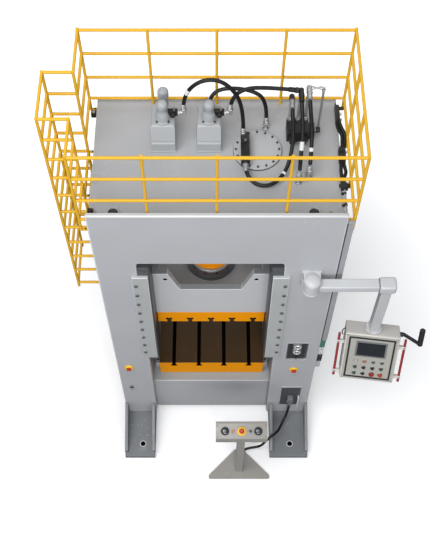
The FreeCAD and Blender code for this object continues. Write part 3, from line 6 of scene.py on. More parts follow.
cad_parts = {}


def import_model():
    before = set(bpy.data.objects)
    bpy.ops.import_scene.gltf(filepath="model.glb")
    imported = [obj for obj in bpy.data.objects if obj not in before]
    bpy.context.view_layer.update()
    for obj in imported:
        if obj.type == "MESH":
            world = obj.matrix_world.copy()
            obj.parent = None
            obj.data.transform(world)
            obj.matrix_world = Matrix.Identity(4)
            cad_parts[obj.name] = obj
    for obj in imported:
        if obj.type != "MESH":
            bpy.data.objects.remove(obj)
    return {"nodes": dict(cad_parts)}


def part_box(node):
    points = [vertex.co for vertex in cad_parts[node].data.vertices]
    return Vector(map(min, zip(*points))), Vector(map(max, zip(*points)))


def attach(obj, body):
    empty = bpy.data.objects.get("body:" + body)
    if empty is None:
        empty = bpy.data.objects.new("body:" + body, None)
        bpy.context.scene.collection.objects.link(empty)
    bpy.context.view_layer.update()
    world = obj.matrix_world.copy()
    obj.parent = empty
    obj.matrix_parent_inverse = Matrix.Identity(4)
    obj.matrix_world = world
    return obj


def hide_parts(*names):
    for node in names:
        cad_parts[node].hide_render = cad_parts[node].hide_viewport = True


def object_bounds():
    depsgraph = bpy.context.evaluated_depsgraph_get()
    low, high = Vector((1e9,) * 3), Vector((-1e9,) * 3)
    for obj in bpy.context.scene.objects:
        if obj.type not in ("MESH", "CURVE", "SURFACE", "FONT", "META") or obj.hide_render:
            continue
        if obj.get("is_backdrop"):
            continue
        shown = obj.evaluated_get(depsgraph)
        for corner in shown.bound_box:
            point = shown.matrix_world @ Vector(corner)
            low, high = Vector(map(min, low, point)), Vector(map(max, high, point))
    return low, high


# The portal press in its photographed finish: broken edges on the welded frame, square-tube
# guard rails, cast pump housings, hydraulic hoses, the swinging pendant and the two-hand console.
# Metres, in the frame's own axes: +Z up, -Y the operator's side.

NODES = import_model()["nodes"]
CAD_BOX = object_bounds()

UP = Vector((0, 0, 1))
RIGHT = Vector((1, 0, 0))
REARWARD = Vector((0, 1, 0))
FORWARD = -REARWARD


def put(name, data):
    """A new object in the scene, at the origin."""
    thing = bpy.data.objects.new(name, data)
    bpy.context.scene.collection.objects.link(thing)
    return thing


# ---- shader nodes


def linear(code):
    """A web colour code as the linear colour that a shader reads."""
    channels = [int(code[k:k + 2], 16) / 255 for k in (0, 2, 4)]
    return tuple(c / 12.92 if c < 0.04045 else ((c + 0.055) / 1.055) ** 2.4 for c in channels) + (1,)


def shaded(colour, share):
    return tuple(channel * share for channel in colour[:3]) + (1,)


def feed(tree, node, inputs):
    """Each input gets a plain value, or a link from a socket."""
    for key, value in inputs.items():
        if isinstance(value, bpy.types.NodeSocket):
            tree.links.new(value, node.inputs[key])
        else:
            node.inputs[key].default_value = value


def add(tree, kind, inputs, **settings):
    """The outputs of a new node."""
    node = tree.nodes.new(kind)
    for key, value in settings.items():
        setattr(node, key, value)
    feed(tree, node, inputs)
    return node.outputs


def noise(tree, vector, scale, detail):
    return add(tree, "ShaderNodeTexNoise", {"Vector": vector, "Scale": scale, "Detail": detail})["Fac"]


def reading(tree, operation, first, second):
    return add(tree, "ShaderNodeMath", {0: first, 1: second}, operation=operation)[0]


def ramp(tree, value, low, high):
    return add(tree, "ShaderNodeMapRange", {"Value": value, "From Min": low, "From Max": high})["Result"]


def layer(tree, factor, under, over):
    """One colour laid over another by a mask."""
    return add(tree, "ShaderNodeMix", {"Factor": factor, "A": under, "B": over}, data_type="RGBA")["Result"]


def shader_material(name):
    material = bpy.data.materials.new(name)
    material.use_nodes = True
    tree = material.node_tree
    return material, tree, tree.nodes["Principled BSDF"], add(tree, "ShaderNodeTexCoord", {})["Object"]


# ---- camera and studio

CAMERA_PLACE = (-0.0145, -4.4955, 10.0536)
CAMERA_TILT = 29.78
CAMERA_LENS = 63.37
SENSOR = 36.0

WORLD_COLOUR = (0.95, 0.97, 1.0, 1)
WORLD_STRENGTH = 0.36
# The name of each lamp, its place, the height it is aimed at over the origin, its size and its watts.
SOFTBOXES = (
    ("OverheadSoftbox", (-3.0, -3.5, 12.0), 3.0, (7, 6), 720),
    ("FrontSoftbox", (0.5, -11.0, 9.0), 3.2, (8, 4), 760),
    ("RearSoftbox", (2.5, 8.0, 9.0), 3.0, (8, 4), 200),
)

FLOOR_HALF = 40.0
FLOOR_SEEN = (0.95, 0.95, 0.96, 1)
FLOOR_BOUNCE = (0.30, 0.30, 0.31, 1)
FLOOR_ROUGHNESS = 0.9
NEAR, FAR = 1.8, 4.5
NEAR_LIFT = 0.14
FAR_LIFT = 0.40


def place_camera():
    data = bpy.data.cameras.new("Camera")
    data.lens = CAMERA_LENS
    data.sensor_width = SENSOR
    camera = put("Camera", data)
    camera.location = CAMERA_PLACE
    camera.rotation_euler = (math.radians(CAMERA_TILT), 0, 0)
    bpy.context.scene.camera = camera


def pale_floor():
    """A white sweep to the camera, which throws little of its light back up at the press."""
    material, tree, shader, where = shader_material("pale_floor")
    seen = add(tree, "ShaderNodeLightPath", {})["Is Camera Ray"]
    reach = add(tree, "ShaderNodeVectorMath", {0: where}, operation="LENGTH")["Value"]
    lift = reading(tree, "MULTIPLY", ramp(tree, reach, NEAR, FAR), FAR_LIFT)
    lift = reading(tree, "ADD", lift, NEAR_LIFT)
    feed(tree, shader, {
        "Roughness": FLOOR_ROUGHNESS,
        "Specular IOR Level": 0.1,
        "Base Color": layer(tree, seen, FLOOR_BOUNCE, FLOOR_SEEN),
        "Emission Color": (1, 1, 1, 1),
        "Emission Strength": reading(tree, "MULTIPLY", seen, lift),
    })
    return material


def studio():
    world = bpy.data.worlds.new("Studio")
    world.use_nodes = True
    backdrop = world.node_tree.nodes["Background"]
    feed(world.node_tree, backdrop, {"Color": WORLD_COLOUR, "Strength": WORLD_STRENGTH})
    bpy.context.scene.world = world
    for name, place, aim_height, size, watts in SOFTBOXES:
        data = bpy.data.lights.new(name, "AREA")
        data.shape = "RECTANGLE"
        data.size, data.size_y = size
        data.energy = watts
        light = put(name, data)
        light.location = place
        light.rotation_euler = (UP * aim_height - Vector(place)).to_track_quat("-Z", "Y").to_euler()
    mesh = bpy.data.meshes.new("Floor")
    h = FLOOR_HALF
    mesh.from_pydata([(-h, -h, 0), (h, -h, 0), (h, h, 0), (-h, h, 0)], [], [(0, 1, 2, 3)])
    mesh.materials.append(pale_floor())
    floor = put("Floor", mesh)
    floor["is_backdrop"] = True
    bpy.context.scene.view_settings.view_transform = "Standard"


# ---- shared shader effects

SCUFF_SCALE = 25.0


def node_group(name, family, inputs, outputs):
    """An empty node group with named sockets: its tree, what it is given, and its end node."""
    tree = bpy.data.node_groups.new(name, family + "NodeTree")
    for way, sockets in (("INPUT", inputs), ("OUTPUT", outputs)):
        for label, kind in sockets.items():
            tree.interface.new_socket(label, in_out=way, socket_type="NodeSocket" + kind)
    return tree, tree.nodes.new("NodeGroupInput").outputs, tree.nodes.new("NodeGroupOutput")


def grain_effect():
    """Orange peel or casting grain: a fine height, and a slow drift of tone."""
    sockets = {"Vector": "Vector", "Grain Scale": "Float"}
    tree, given, end = node_group("surface_grain", "Shader", sockets, {"Height": "Float", "Tone": "Float"})
    feed(tree, end, {
        "Height": noise(tree, given["Vector"], given["Grain Scale"], 3),
        "Tone": ramp(tree, noise(tree, given["Vector"], 1.7, 4), 0.3, 0.7),
    })
    return tree


def mask_group(name):
    return node_group(name, "Shader", {"Vector": "Vector", "Amount": "Float"}, {"Mask": "Float"})


def mask_out(tree, end, first, second, amount):
    both = reading(tree, "MULTIPLY", first, second)
    feed(tree, end, {"Mask": reading(tree, "MULTIPLY", both, amount)})
    return tree


def scuff_effect():
    """Small chips and rubbed spots where the paint or blacking has gone."""
    tree, given, end = mask_group("scuffs")
    spots = ramp(tree, noise(tree, given["Vector"], SCUFF_SCALE, 6), 0.60, 0.66)
    patches = ramp(tree, noise(tree, given["Vector"], 3.1, 2), 0.48, 0.62)
    return mask_out(tree, end, spots, patches, given["Amount"])


def dust_effect():
    """Workshop dust that settles on what faces up."""
    tree, given, end = mask_group("settled_dust")
    normal = add(tree, "ShaderNodeNewGeometry", {})["Normal"]
    level = ramp(tree, add(tree, "ShaderNodeSeparateXYZ", {0: normal})["Z"], 0.5, 0.95)
    patches = ramp(tree, noise(tree, given["Vector"], 6.0, 5), 0.35, 0.75)
    return mask_out(tree, end, level, patches, given["Amount"])


GRAIN = grain_effect()
SCUFFS = scuff_effect()
DUST = dust_effect()
DUST_COLOUR = linear("a8a69f")
FINISHES = {}


def finish(name, code, rough, metal=0.0, coat=0.0, grain=300.0, depth=0.05, tone=0.94, dust=0.0,
           scuff=0.0, bare="d8dadb", stretch=None, glow=0.0, shine=0.5):
    """A finish from its colour and gloss. Stretch draws the grain out, as brushing does."""
    material, tree, shader, where = shader_material(name + "_finish")
    if stretch is not None:
        where = add(tree, "ShaderNodeMapping", {"Vector": where, "Scale": stretch})["Vector"]
    base = linear(code)
    surface = add(tree, "ShaderNodeGroup", {"Vector": where, "Grain Scale": grain}, node_tree=GRAIN)
    colour = layer(tree, surface["Tone"], shaded(base, tone), base)
    for group, amount, over in ((SCUFFS, scuff, linear(bare)), (DUST, dust, DUST_COLOUR)):
        if amount:
            mask = add(tree, "ShaderNodeGroup", {"Vector": where, "Amount": amount}, node_tree=group)
            colour = layer(tree, mask["Mask"], colour, over)
    spread = {"Value": surface["Tone"], "To Min": max(0.02, rough - 0.05), "To Max": min(1.0, rough + 0.05)}
    relief = {"Strength": depth, "Distance": 0.001, "Height": surface["Height"]}
    feed(tree, shader, {
        "Base Color": colour,
        "Roughness": add(tree, "ShaderNodeMapRange", spread)["Result"],
        "Metallic": metal,
        "Specular IOR Level": shine,
        "Coat Weight": coat,
        "Coat Roughness": 0.15,
        "Normal": add(tree, "ShaderNodeBump", relief)["Normal"],
    })
    if glow:
        feed(tree, shader, {"Emission Color": base, "Emission Strength": glow})
    FINISHES[name] = material


# Sprayed paint: its colour, roughness, dust and scuffs. Some of these paint light and shade: a lighter grey
# on rounded edges as a painted highlight, darker greys as painted shade on the inner walls, the feet, the
# bed's upward faces and the slide's wall tops, and a lighter grey on the slide as painted light.
PAINTS = {
    "frame_grey": ("b6b8bc", 0.42, 0.15, 0.12),
    "deck_grey": ("aaacb0", 0.48, 0.3, 0.15),
    "highlight_grey": ("d2d4d6", 0.40, 0.15, 0.25),
    "ledge_shade_grey": ("a4aeb4", 0.42, 0.15, 0),
    "inner_shade_grey": ("8d9094", 0.50, 0.15, 0),
    "slide_lit_grey": ("c6c8cb", 0.42, 0.15, 0.12),
    "wall_top_shade_grey": ("84878a", 0.55, 0.15, 0),
    "foot_shade_grey": ("777b7f", 0.48, 0.15, 0.15),
    "gib_grey": ("b0b4b4", 0.38, 0.15, 0.2),
    "duct_grey": ("9fa2a6", 0.45, 0.15, 0),
    "arm_grey": ("c3c5c8", 0.42, 0.15, 0),
    "pendant_grey": ("cecbc5", 0.42, 0.15, 0),
    "console_grey": ("9b9893", 0.44, 0.15, 0.1),
}


def mix_finishes():
    """Every finish on the press, by the name of its material slot or of the detail that wears it."""
    for name, (code, rough, dust, scuff) in PAINTS.items():
        finish(name, code, rough, coat=0.12, depth=0.10, dust=dust, scuff=scuff)
    finish("housing_grey", "a3a7aa", 0.50, grain=90.0, depth=0.35, coat=0.05, dust=0.15)
    finish("cover_grey", "aeb1b3", 0.48, grain=90.0, depth=0.3, coat=0.05, dust=0.15)
    finish("plate_orange", "f59c00", 0.60, depth=0.1, shine=0.08)
    finish("gland_orange", "ff9c00", 0.50, shine=0.1)
    finish("rail_yellow", "e2ae2a", 0.45, depth=0.1, shine=0.3)
    finish("oiled_steel", "4b3519", 0.42, metal=0.2, grain=60.0, depth=0.25, tone=0.72, scuff=0.3,
           bare="6c5a44", stretch=(1, 0.12, 1))
    # Near-black painted into slots, holes and the lock's keyway as shade.
    finish("recess_shade_dark", "070504", 0.8, shine=0.05)
    finish("machined_steel", "6a675f", 0.35, metal=0.7, grain=80.0, depth=0.2, stretch=(1, 0.1, 1))
    finish("guide_dark", "56585b", 0.40, metal=0.3, stretch=(1, 1, 0.1), depth=0.2)
    finish("screw_steel", "5c5e62", 0.35, metal=0.8)
    # Near-black painted in screw sockets as shade.
    finish("socket_shade_dark", "151516", 0.6)
    finish("rod_chrome", "e6e8ea", 0.18, metal=0.45, depth=0.01, tone=0.97)
    finish("flange_dark", "77797c", 0.36, metal=0.35, grain=150.0)
    finish("valve_black", "0d0e0f", 0.42, dust=0.05, depth=0.2)
    finish("coil_black", "151618", 0.50, dust=0.05, depth=0.25, grain=500.0)
    finish("fitting_steel", "b4b6b8", 0.40, metal=0.75)
    finish("socket_silver", "e4e6e8", 0.30, metal=0.5)
    finish("brass", "b88a3a", 0.30, metal=0.9, dust=0.05)
    finish("hose_black", "0f1011", 0.50, grain=900.0, depth=0.3, dust=0.04, shine=0.35)
    finish("cord_black", "121314", 0.50, grain=900.0, depth=0.3, dust=0.04, shine=0.35)
    # Dark grey for service parts, also painted as shade inside the lifting sockets.
    finish("services_dark", "26282a", 0.5, dust=0.1)
    finish("unit_green", "3f7f68", 0.45, dust=0.1)
    finish("unit_white", "d9dcdc", 0.45, dust=0.1)
    finish("panel_dark", "45474a", 0.45, depth=0.2, dust=0.15)
    finish("estop_yellow", "f3c21a", 0.30, coat=0.3, dust=0.05)
    finish("stop_red", "bb2417", 0.34, coat=0.2, dust=0.05, depth=0.02)
    finish("knob_black", "141415", 0.45, dust=0.05)
    finish("plug_grey", "6c6f73", 0.5, depth=0.25, grain=500.0, dust=0.15)
    finish("pendant_face", "a6a49d", 0.40, grain=700.0)
    finish("gasket_black", "151515", 0.6)
    finish("bezel_grey", "6e7073", 0.4)
    finish("screen_glass", "23272b", 0.12, coat=0.6, depth=0.0)
    finish("lamp_white", "b5b5ae", 0.25, coat=0.3)
    finish("lamp_orange", "ae5a2a", 0.25, coat=0.3, glow=0.04)
    finish("lamp_green", "40584c", 0.25, coat=0.3)
    finish("button_green", "2b4c3c", 0.28, coat=0.3)
    finish("button_black", "101011", 0.3, coat=0.3)
    finish("release_orange", "a83c26", 0.34, coat=0.2)
    finish("collar_steel", "9b9da0", 0.28, metal=0.85)
    finish("handle_red", "922a2d", 0.36, coat=0.2, dust=0.05)
    finish("mushroom_maroon", "8a2420", 0.36, coat=0.2)
    finish("lever_black", "1b1b1c", 0.42, depth=0.2, dust=0.05)
    finish("palm_steel", "55585b", 0.25, metal=0.75)


# ---- ways of making

CORNERS = ((-1, -1), (-1, 1), (1, -1), (1, 1))


def turn_to(way):
    return Vector(way).to_track_quat("Z", "Y").to_matrix().to_4x4()


def axis_frame(at, way=None):
    """The matrix that puts a form at a point, with its +Z along a way where one is given."""
    place = Matrix.Translation(Vector(at))
    return place if way is None else place @ turn_to(way)


class Workpiece:
    """One piece under way: its forms, each in its own finish, in the axes of its place."""

    def __init__(self, name, place=Matrix.Identity(4)):
        self.name = name
        self.place = place
        self.form = bmesh.new()
        self.worn = []

    def wear(self, faces, label):
        if label not in self.worn:
            self.worn.append(label)
        for face in faces:
            face.material_index = self.worn.index(label)

    def block(self, low, high, label, edge=0.002, steps=2, tilt=Matrix.Identity(4)):
        """A block between two corners with its edges rounded."""
        low, high = Vector(low), Vector(high)
        middle, extent = (low + high) / 2, high - low
        verts = bmesh.ops.create_cube(self.form, size=1.0)["verts"]
        for vert in verts:
            vert.co = Vector(vert.co[k] * extent[k] + middle[k] for k in range(3))
        if edge:
            edges = list({e for vert in verts for e in vert.link_edges})
            reach = min(edge, min(extent) * 0.45)
            rounded = bmesh.ops.bevel(self.form, geom=edges, offset=reach, segments=steps, profile=0.5,
                                      affect="EDGES", clamp_overlap=True)["faces"]
            for face in rounded:
                face.smooth = True
            verts = list({v for face in rounded for v in face.verts})
        bmesh.ops.transform(self.form, matrix=self.place @ tilt, verts=verts)
        self.wear({f for vert in verts for f in vert.link_faces}, label)

    def border(self, left, right, bottom, top, wide, front, back, label, edge):
        """Four bars round a window in an upright face."""
        inner = (left + wide, right - wide)
        for start, end, low, high in ((left, inner[0], bottom, top), (inner[1], right, bottom, top),
                                      (*inner, bottom, bottom + wide), (*inner, top - wide, top)):
            self.block((start, front, low), (end, back, high), label, edge)

    def spun(self, profile, label, frame, sides):
        """The faces between the rings of a profile turned about the +Z of a frame."""
        rings = []
        for radius, height in profile:
            count = sides if radius > 0 else 1
            turns = [2 * math.pi * k / sides for k in range(count)]
            ring = [Vector((radius * math.cos(turn), radius * math.sin(turn), height)) for turn in turns]
            rings.append([self.form.verts.new(frame @ spot) for spot in ring])
        faces = []
        for lower, upper in zip(rings, rings[1:]):
            for k in range(sides):
                after = (k + 1) % sides
                corners = [lower[k % len(lower)], lower[after % len(lower)],
                           upper[after % len(upper)], upper[k % len(upper)]]
                corners = list(dict.fromkeys(corners))
                if len(corners) > 2:
                    faces.append(self.form.faces.new(corners))
                    faces[-1].smooth = sides > 8
        self.wear(faces, label)

    def turned(self, profile, label, at=(0, 0, 0), way=None, sides=32):
        """A solid turned form. Its profile runs up as (radius, height) pairs, and flat ends are added."""
        ends = [[(0, height)] if radius > 0 else [] for radius, height in (profile[0], profile[-1])]
        self.spun(ends[0] + profile + ends[1], label, self.place @ axis_frame(at, way), sides)

    def ring(self, profile, label, at=(0, 0, 0), way=None, sides=32):
        """A turned form with a hole through it. Its profile runs once round and closes on its start."""
        self.spun(profile + profile[:1], label, self.place @ axis_frame(at, way), sides)

    def rod(self, start, end, radius, label, sides=24, edge=0.001):
        """A straight round bar with a small chamfer at both ends."""
        start, end = self.place @ Vector(start), self.place @ Vector(end)
        length = (end - start).length
        edge = min(edge, radius * 0.5, length * 0.4)
        profile = [(0, 0), (radius - edge, 0), (radius, edge), (radius, length - edge),
                   (radius - edge, length), (0, length)]
        self.spun(profile, label, axis_frame(start, end - start), sides)

    def stub(self, at, way, length, radius, label, sides=24, edge=0.001):
        """A short bar that starts at a point and runs along a way."""
        self.rod(at, Vector(at) + way * length, radius, label, sides, edge)

    def tube(self, at, way, outer, bore, height, label, sides=40, edge=0.002):
        """A collar with soft rims."""
        edge = min(edge, (outer - bore) * 0.3)
        self.ring([(bore, 0), (outer - edge, 0), (outer, edge), (outer, height - edge),
                   (outer - edge, height), (bore + edge, height), (bore, height - edge)],
                  label, at, way, sides)

    def slab(self, outline, low, high, label, corner, steps=6):
        """A flat plate from its outline seen from above, with round corners and broken edges."""
        points = []
        count = len(outline)
        for k in range(count):
            before, spot, after = (Vector(outline[(k + j) % count]) for j in (-1, 0, 1))
            back, ahead = before - spot, after - spot
            reach = corner / math.tan(back.angle(ahead) / 2)
            reach = min(reach, back.length * 0.45, ahead.length * 0.45)
            start, end = spot + back.normalized() * reach, spot + ahead.normalized() * reach
            for step in range(steps + 1):
                t = step / steps
                points.append(start.lerp(spot, t).lerp(spot.lerp(end, t), t))
        bottom = [self.form.verts.new((*point, low)) for point in points]
        face = self.form.faces.new(bottom)
        raised = bmesh.ops.extrude_face_region(self.form, geom=[face])["geom"]
        top = [v for v in raised if isinstance(v, bmesh.types.BMVert)]
        for vert in top:
            vert.co.z = high
        faces = list({f for v in bottom + top for f in v.link_faces})
        bmesh.ops.recalc_face_normals(self.form, faces=faces)
        rim = list({e for f in faces for e in f.edges if abs(e.verts[0].co.z - e.verts[1].co.z) < 1e-6})
        rounded = bmesh.ops.bevel(self.form, geom=rim, offset=0.002, segments=2, profile=0.5, affect="EDGES")
        faces = {f for face in rounded["faces"] for v in face.verts for f in v.link_faces}
        for face in faces:
            face.smooth = abs(face.normal.z) < 0.99
        self.wear(faces, label)
        verts = list({v for f in faces for v in f.verts})
        bmesh.ops.transform(self.form, matrix=self.place, verts=verts)

    def close(self, body, slot=None, replaces=()):
        """The piece as an object that rides on its body and stands for its CAD nodes."""
        bmesh.ops.remove_doubles(self.form, verts=self.form.verts, dist=1e-6)
        bmesh.ops.recalc_face_normals(self.form, faces=self.form.faces)
        mesh = mesh_of(self.form, self.name, self.worn)
        place_piece(self.name, mesh, body, slot, replaces)


def mesh_of(form, name, worn):
    mesh = bpy.data.meshes.new(name)
    form.to_mesh(mesh)
    form.free()
    for label in worn:
        mesh.materials.append(FINISHES[label])
    return mesh


def belong(piece, body, slot, replaces):
    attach(piece, body)
    if replaces:
        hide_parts(*replaces)


def place_piece(name, mesh, body, slot=None, replaces=(), sharp=35.0):
    smooth = [face.use_smooth for face in mesh.polygons]
    mesh.set_sharp_from_angle(angle=math.radians(sharp))
    mesh.polygons.foreach_set("use_smooth", smooth)
    belong(put(name, mesh), body, slot, replaces)


def baked(holder):
    """The mesh of an object with its modifiers worked in. The object goes."""
    evaluated = holder.evaluated_get(bpy.context.evaluated_depsgraph_get())
    mesh = bpy.data.meshes.new_from_object(evaluated)
    bpy.data.objects.remove(holder)
    return mesh


CURVED = math.radians(0.6)
FLAT = math.radians(0.5)
STRIP = 0.6


def softened(node, body, edge, worn, pick=None, steps=2, edge_highlight=None, turn=30.0):
    """A CAD node with its edges rounded. Pick gives the finish of a face from its middle and normal. The edge
    highlight finish, where given, paints the rounds lighter as a painted highlight.
    """
    bend = math.radians(turn)
    form = bmesh.new()
    form.from_mesh(NODES[node].data)
    bmesh.ops.remove_doubles(form, verts=form.verts, dist=1e-5)
    bmesh.ops.dissolve_limit(form, angle_limit=FLAT, verts=form.verts, edges=form.edges)
    for face in form.faces:
        face.material_index = pick(face.calc_center_median(), face.normal) if pick else 0
        face.smooth = any(CURVED < line.calc_face_angle(0.0) < bend for line in face.edges)
    blank = put(node + "_blank", mesh_of(form, node + "_blank", worn))
    bevel = blank.modifiers.new("BrokenEdges", "BEVEL")
    bevel.width = edge
    bevel.segments = steps
    bevel.limit_method = "ANGLE"
    bevel.angle_limit = bend
    if edge_highlight is not None:
        blank.data.materials.append(FINISHES[edge_highlight])
        bevel.material = len(worn)
    mesh = baked(blank)
    if "custom_normal" in mesh.attributes:
        mesh.attributes.remove(mesh.attributes["custom_normal"])
    for face in mesh.polygons:
        around = sum(math.dist(mesh.vertices[a].co, mesh.vertices[b].co) for a, b in face.edge_keys)
        if face.area < STRIP * edge * around:
            face.use_smooth = True
    place_piece(node + "_finished", mesh, body, None, (node,), 60.0)


# ---- repeats by geometry nodes

GEOMETRY = {"Geometry": "Geometry"}
SOCKET_DEPTH = -0.6


def set_finish(tree, inputs):
    return add(tree, "GeometryNodeSetMaterial", inputs)["Geometry"]


def realized(tree, instances):
    return add(tree, "GeometryNodeRealizeInstances", {0: instances})[0]


def square_tube_tree():
    """Each edge of the drawing becomes a square tube with rounded corners and closed ends."""
    sockets = {**GEOMETRY, "Side": "Float", "Corner": "Float", "Finish": "Material"}
    tree, given, end = node_group("square_tube", "Geometry", sockets, GEOMETRY)
    path = add(tree, "GeometryNodeMeshToCurve", {0: given["Geometry"]})[0]
    sides = {"Width": given["Side"], "Height": given["Side"]}
    section = add(tree, "GeometryNodeCurvePrimitiveQuadrilateral", sides)["Curve"]
    corners = {"Count": 3, "Curve": section, "Radius": given["Corner"]}
    section = add(tree, "GeometryNodeFilletCurve", corners, mode="POLY")["Curve"]
    sweep = {"Curve": path, "Profile Curve": section, "Fill Caps": True}
    tubes = realized(tree, add(tree, "GeometryNodeCurveToMesh", sweep)["Mesh"])
    feed(tree, end, {0: set_finish(tree, {"Geometry": tubes, "Material": given["Finish"]})})
    return tree


def screw_tree():
    """A socket-head screw at every point, its head standing along the point's own direction. The socket's
    walls and floor are painted dark as shade.
    """
    sockets = {**GEOMETRY, "Radius": "Float", "Head": "Float", "Sides": "Int", "Socket Share": "Float",
               "Finish": "Material", "Socket Shade Finish": "Material"}
    tree, given, end = node_group("socket_screws", "Geometry", sockets, GEOMETRY)
    size = {"Vertices": given["Sides"], "Radius": given["Radius"], "Depth": given["Head"]}
    head = add(tree, "GeometryNodeMeshCylinder", size)
    painted = set_finish(tree, {"Geometry": head["Mesh"], "Material": given["Finish"]})
    top = {"Mesh": painted, "Selection": head["Top"], "Offset Scale": 0.0}
    rim = add(tree, "GeometryNodeExtrudeMesh", top)
    inset = {"Geometry": rim["Mesh"], "Selection": rim["Top"], "Scale": given["Socket Share"]}
    narrow = add(tree, "GeometryNodeScaleElements", inset)["Geometry"]
    depth = reading(tree, "MULTIPLY", given["Head"], SOCKET_DEPTH)
    hole = {"Mesh": narrow, "Selection": rim["Top"], "Offset Scale": depth}
    sink = add(tree, "GeometryNodeExtrudeMesh", hole)
    walls = add(tree, "FunctionNodeBooleanMath", {0: sink["Top"], 1: sink["Side"]}, operation="OR")[0]
    dark = {"Geometry": sink["Mesh"], "Selection": walls, "Material": given["Socket Shade Finish"]}
    screw = set_finish(tree, dark)
    facing = add(tree, "GeometryNodeInputNamedAttribute", {"Name": "facing"}, data_type="FLOAT_VECTOR")
    align = add(tree, "FunctionNodeAlignRotationToVector", {"Vector": facing["Attribute"]}, axis="Z")
    spread = {"Points": given["Geometry"], "Instance": screw, "Rotation": align["Rotation"]}
    feed(tree, end, {0: realized(tree, add(tree, "GeometryNodeInstanceOnPoints", spread)["Instances"])})
    return tree


SQUARE_TUBE = square_tube_tree()
SCREWS = screw_tree()


def grown(name, drawing, tree, values, body, slot, replaces, sharp):
    """The drawing grown by a node tree, made a plain mesh, and placed on its body."""
    holder = put(name + "_drawing", drawing)
    modifier = holder.modifiers.new("Grow", "NODES")
    modifier.node_group = tree
    sockets = {item.name: item.identifier for item in tree.interface.items_tree if item.in_out == "INPUT"}
    for label, value in values.items():
        modifier[sockets[label]] = value
    mesh = baked(holder)
    mesh.polygons.foreach_set("use_smooth", [True] * len(mesh.polygons))
    place_piece(name, mesh, body, slot, replaces, sharp)


def square_tubes(name, runs, side, replaces, corner=0.008):
    drawing = bpy.data.meshes.new(name)
    edges = [(2 * k, 2 * k + 1) for k in range(len(runs))]
    drawing.from_pydata([point for run in runs for point in run], edges, [])
    values = {"Side": side, "Corner": corner, "Finish": FINISHES["rail_yellow"]}
    grown(name, drawing, SQUARE_TUBE, values, "frame", "rail_yellow", replaces, 35.0)


def screws(name, spots, way, radius, head, body, sides=16, share=0.5, label="screw_steel", replaces=()):
    """Screws at the middles of their heads, which all stand along one way."""
    drawing = bpy.data.meshes.new(name)
    drawing.from_pydata(spots, [], [])
    facing = drawing.attributes.new("facing", "FLOAT_VECTOR", "POINT")
    for point in facing.data:
        point.vector = way
    values = {"Radius": radius, "Head": head, "Sides": sides, "Socket Share": share,
              "Finish": FINISHES[label], "Socket Shade Finish": FINISHES["socket_shade_dark"]}
    grown(name, drawing, SCREWS, values, body, "screw_steel", replaces, 30.0)


def bolt_circle(centre, radius, count, lift, phase=0.0):
    """Spots on a level circle."""
    turns = [2 * math.pi * (k + phase) / count for k in range(count)]
    around = [Vector((radius * math.cos(turn), radius * math.sin(turn), lift)) for turn in turns]
    return [Vector(centre) + turn_to(UP) @ spot for spot in around]


# ---- cord and hoses

CORD_ROUTE = [
    (0.797, -0.688, 0.340), (0.797, -0.688, 0.166), (0.717, -0.830, 0.103), (0.674, -0.955, 0.248),
    (0.539, -1.049, 0.226), (0.492, -1.063, 0.069), (0.317, -1.077, 0.047), (0.248, -1.153, 0.049),
    (0.248, -1.250, 0.049),
]
CORD_RADIUS = 0.014

HOSE_RADIUS = 0.016
PUMP_LEFT_HOSE = [
    (-0.261, 0.235, 4.265), (-0.261, 0.235, 4.440), (-0.130, 0.244, 4.610), (0.055, 0.248, 4.600),
    (0.212, 0.200, 4.380), (0.212, 0.200, 4.017),
]
COVER_RETURN_HOSE = [
    (-0.062, 0.279, 4.262), (-0.062, 0.360, 4.262), (0.030, 0.405, 4.330), (0.250, 0.385, 4.340),
    (0.403, 0.345, 4.260), (0.403, 0.345, 3.970),
]
PUMP_RIGHT_HOSE = [
    (0.105, 0.235, 4.265), (0.105, 0.235, 4.380), (0.200, 0.305, 4.440), (0.400, 0.329, 4.425),
    (0.636, 0.329, 4.390),
]
COVER_LOOP_HOSE = [
    (0.228, -0.071, 3.975), (0.228, -0.170, 3.975), (0.310, -0.262, 3.948), (0.440, -0.262, 3.945),
    (0.560, -0.130, 3.970), (0.608, 0.060, 4.090), (0.590, 0.190, 4.313), (0.590, 0.293, 4.313),
]
DROP_HOSE_B = [
    (0.657, 0.293, 4.387), (0.657, 0.200, 4.387), (0.674, 0.060, 4.190), (0.660, -0.080, 4.060),
    (0.647, -0.200, 4.050), (0.647, -0.200, 3.970),
]
DROP_HOSE_C = [
    (0.717, 0.293, 4.418), (0.717, 0.200, 4.418), (0.745, 0.080, 4.200), (0.745, -0.020, 4.080),
    (0.732, -0.140, 4.060), (0.732, -0.140, 3.970),
]
SIDE_HOSES = [
    [(0.984, 0.363, 3.955), (0.984, 0.300, 3.955), (1.018, 0.224, 3.966), (1.013, 0.155, 3.945),
     (1.013, 0.093, 3.945)],
    [(0.997, 0.372, 3.980), (1.005, 0.300, 3.985), (1.048, 0.224, 3.960), (1.030, 0.130, 3.930),
     (1.022, 0.080, 3.925)],
    [(1.014, -0.025, 3.945), (1.020, -0.080, 3.940), (1.032, -0.120, 3.925), (1.008, -0.180, 3.930),
     (1.008, -0.236, 3.935)],
    [(0.994, -0.025, 3.950), (0.990, -0.090, 3.955), (0.985, -0.130, 3.960), (0.992, -0.180, 3.940),
     (0.992, -0.236, 3.935)],
]
DECK_HOSES = [PUMP_LEFT_HOSE, COVER_RETURN_HOSE, PUMP_RIGHT_HOSE, COVER_LOOP_HOSE]
DROP_HOSES = [DROP_HOSE_B, DROP_HOSE_C]

# The white sleeves shrunk on the hoses: the hose, its control point, the share of that bend, the length.
SLEEVES = ((PUMP_LEFT_HOSE, 1, 0.75, 0.050), (DROP_HOSE_B, 3, 0.0, 0.070), (DROP_HOSE_C, 3, 0.5, 0.030),
           (COVER_LOOP_HOSE, 4, 0.27, 0.020))


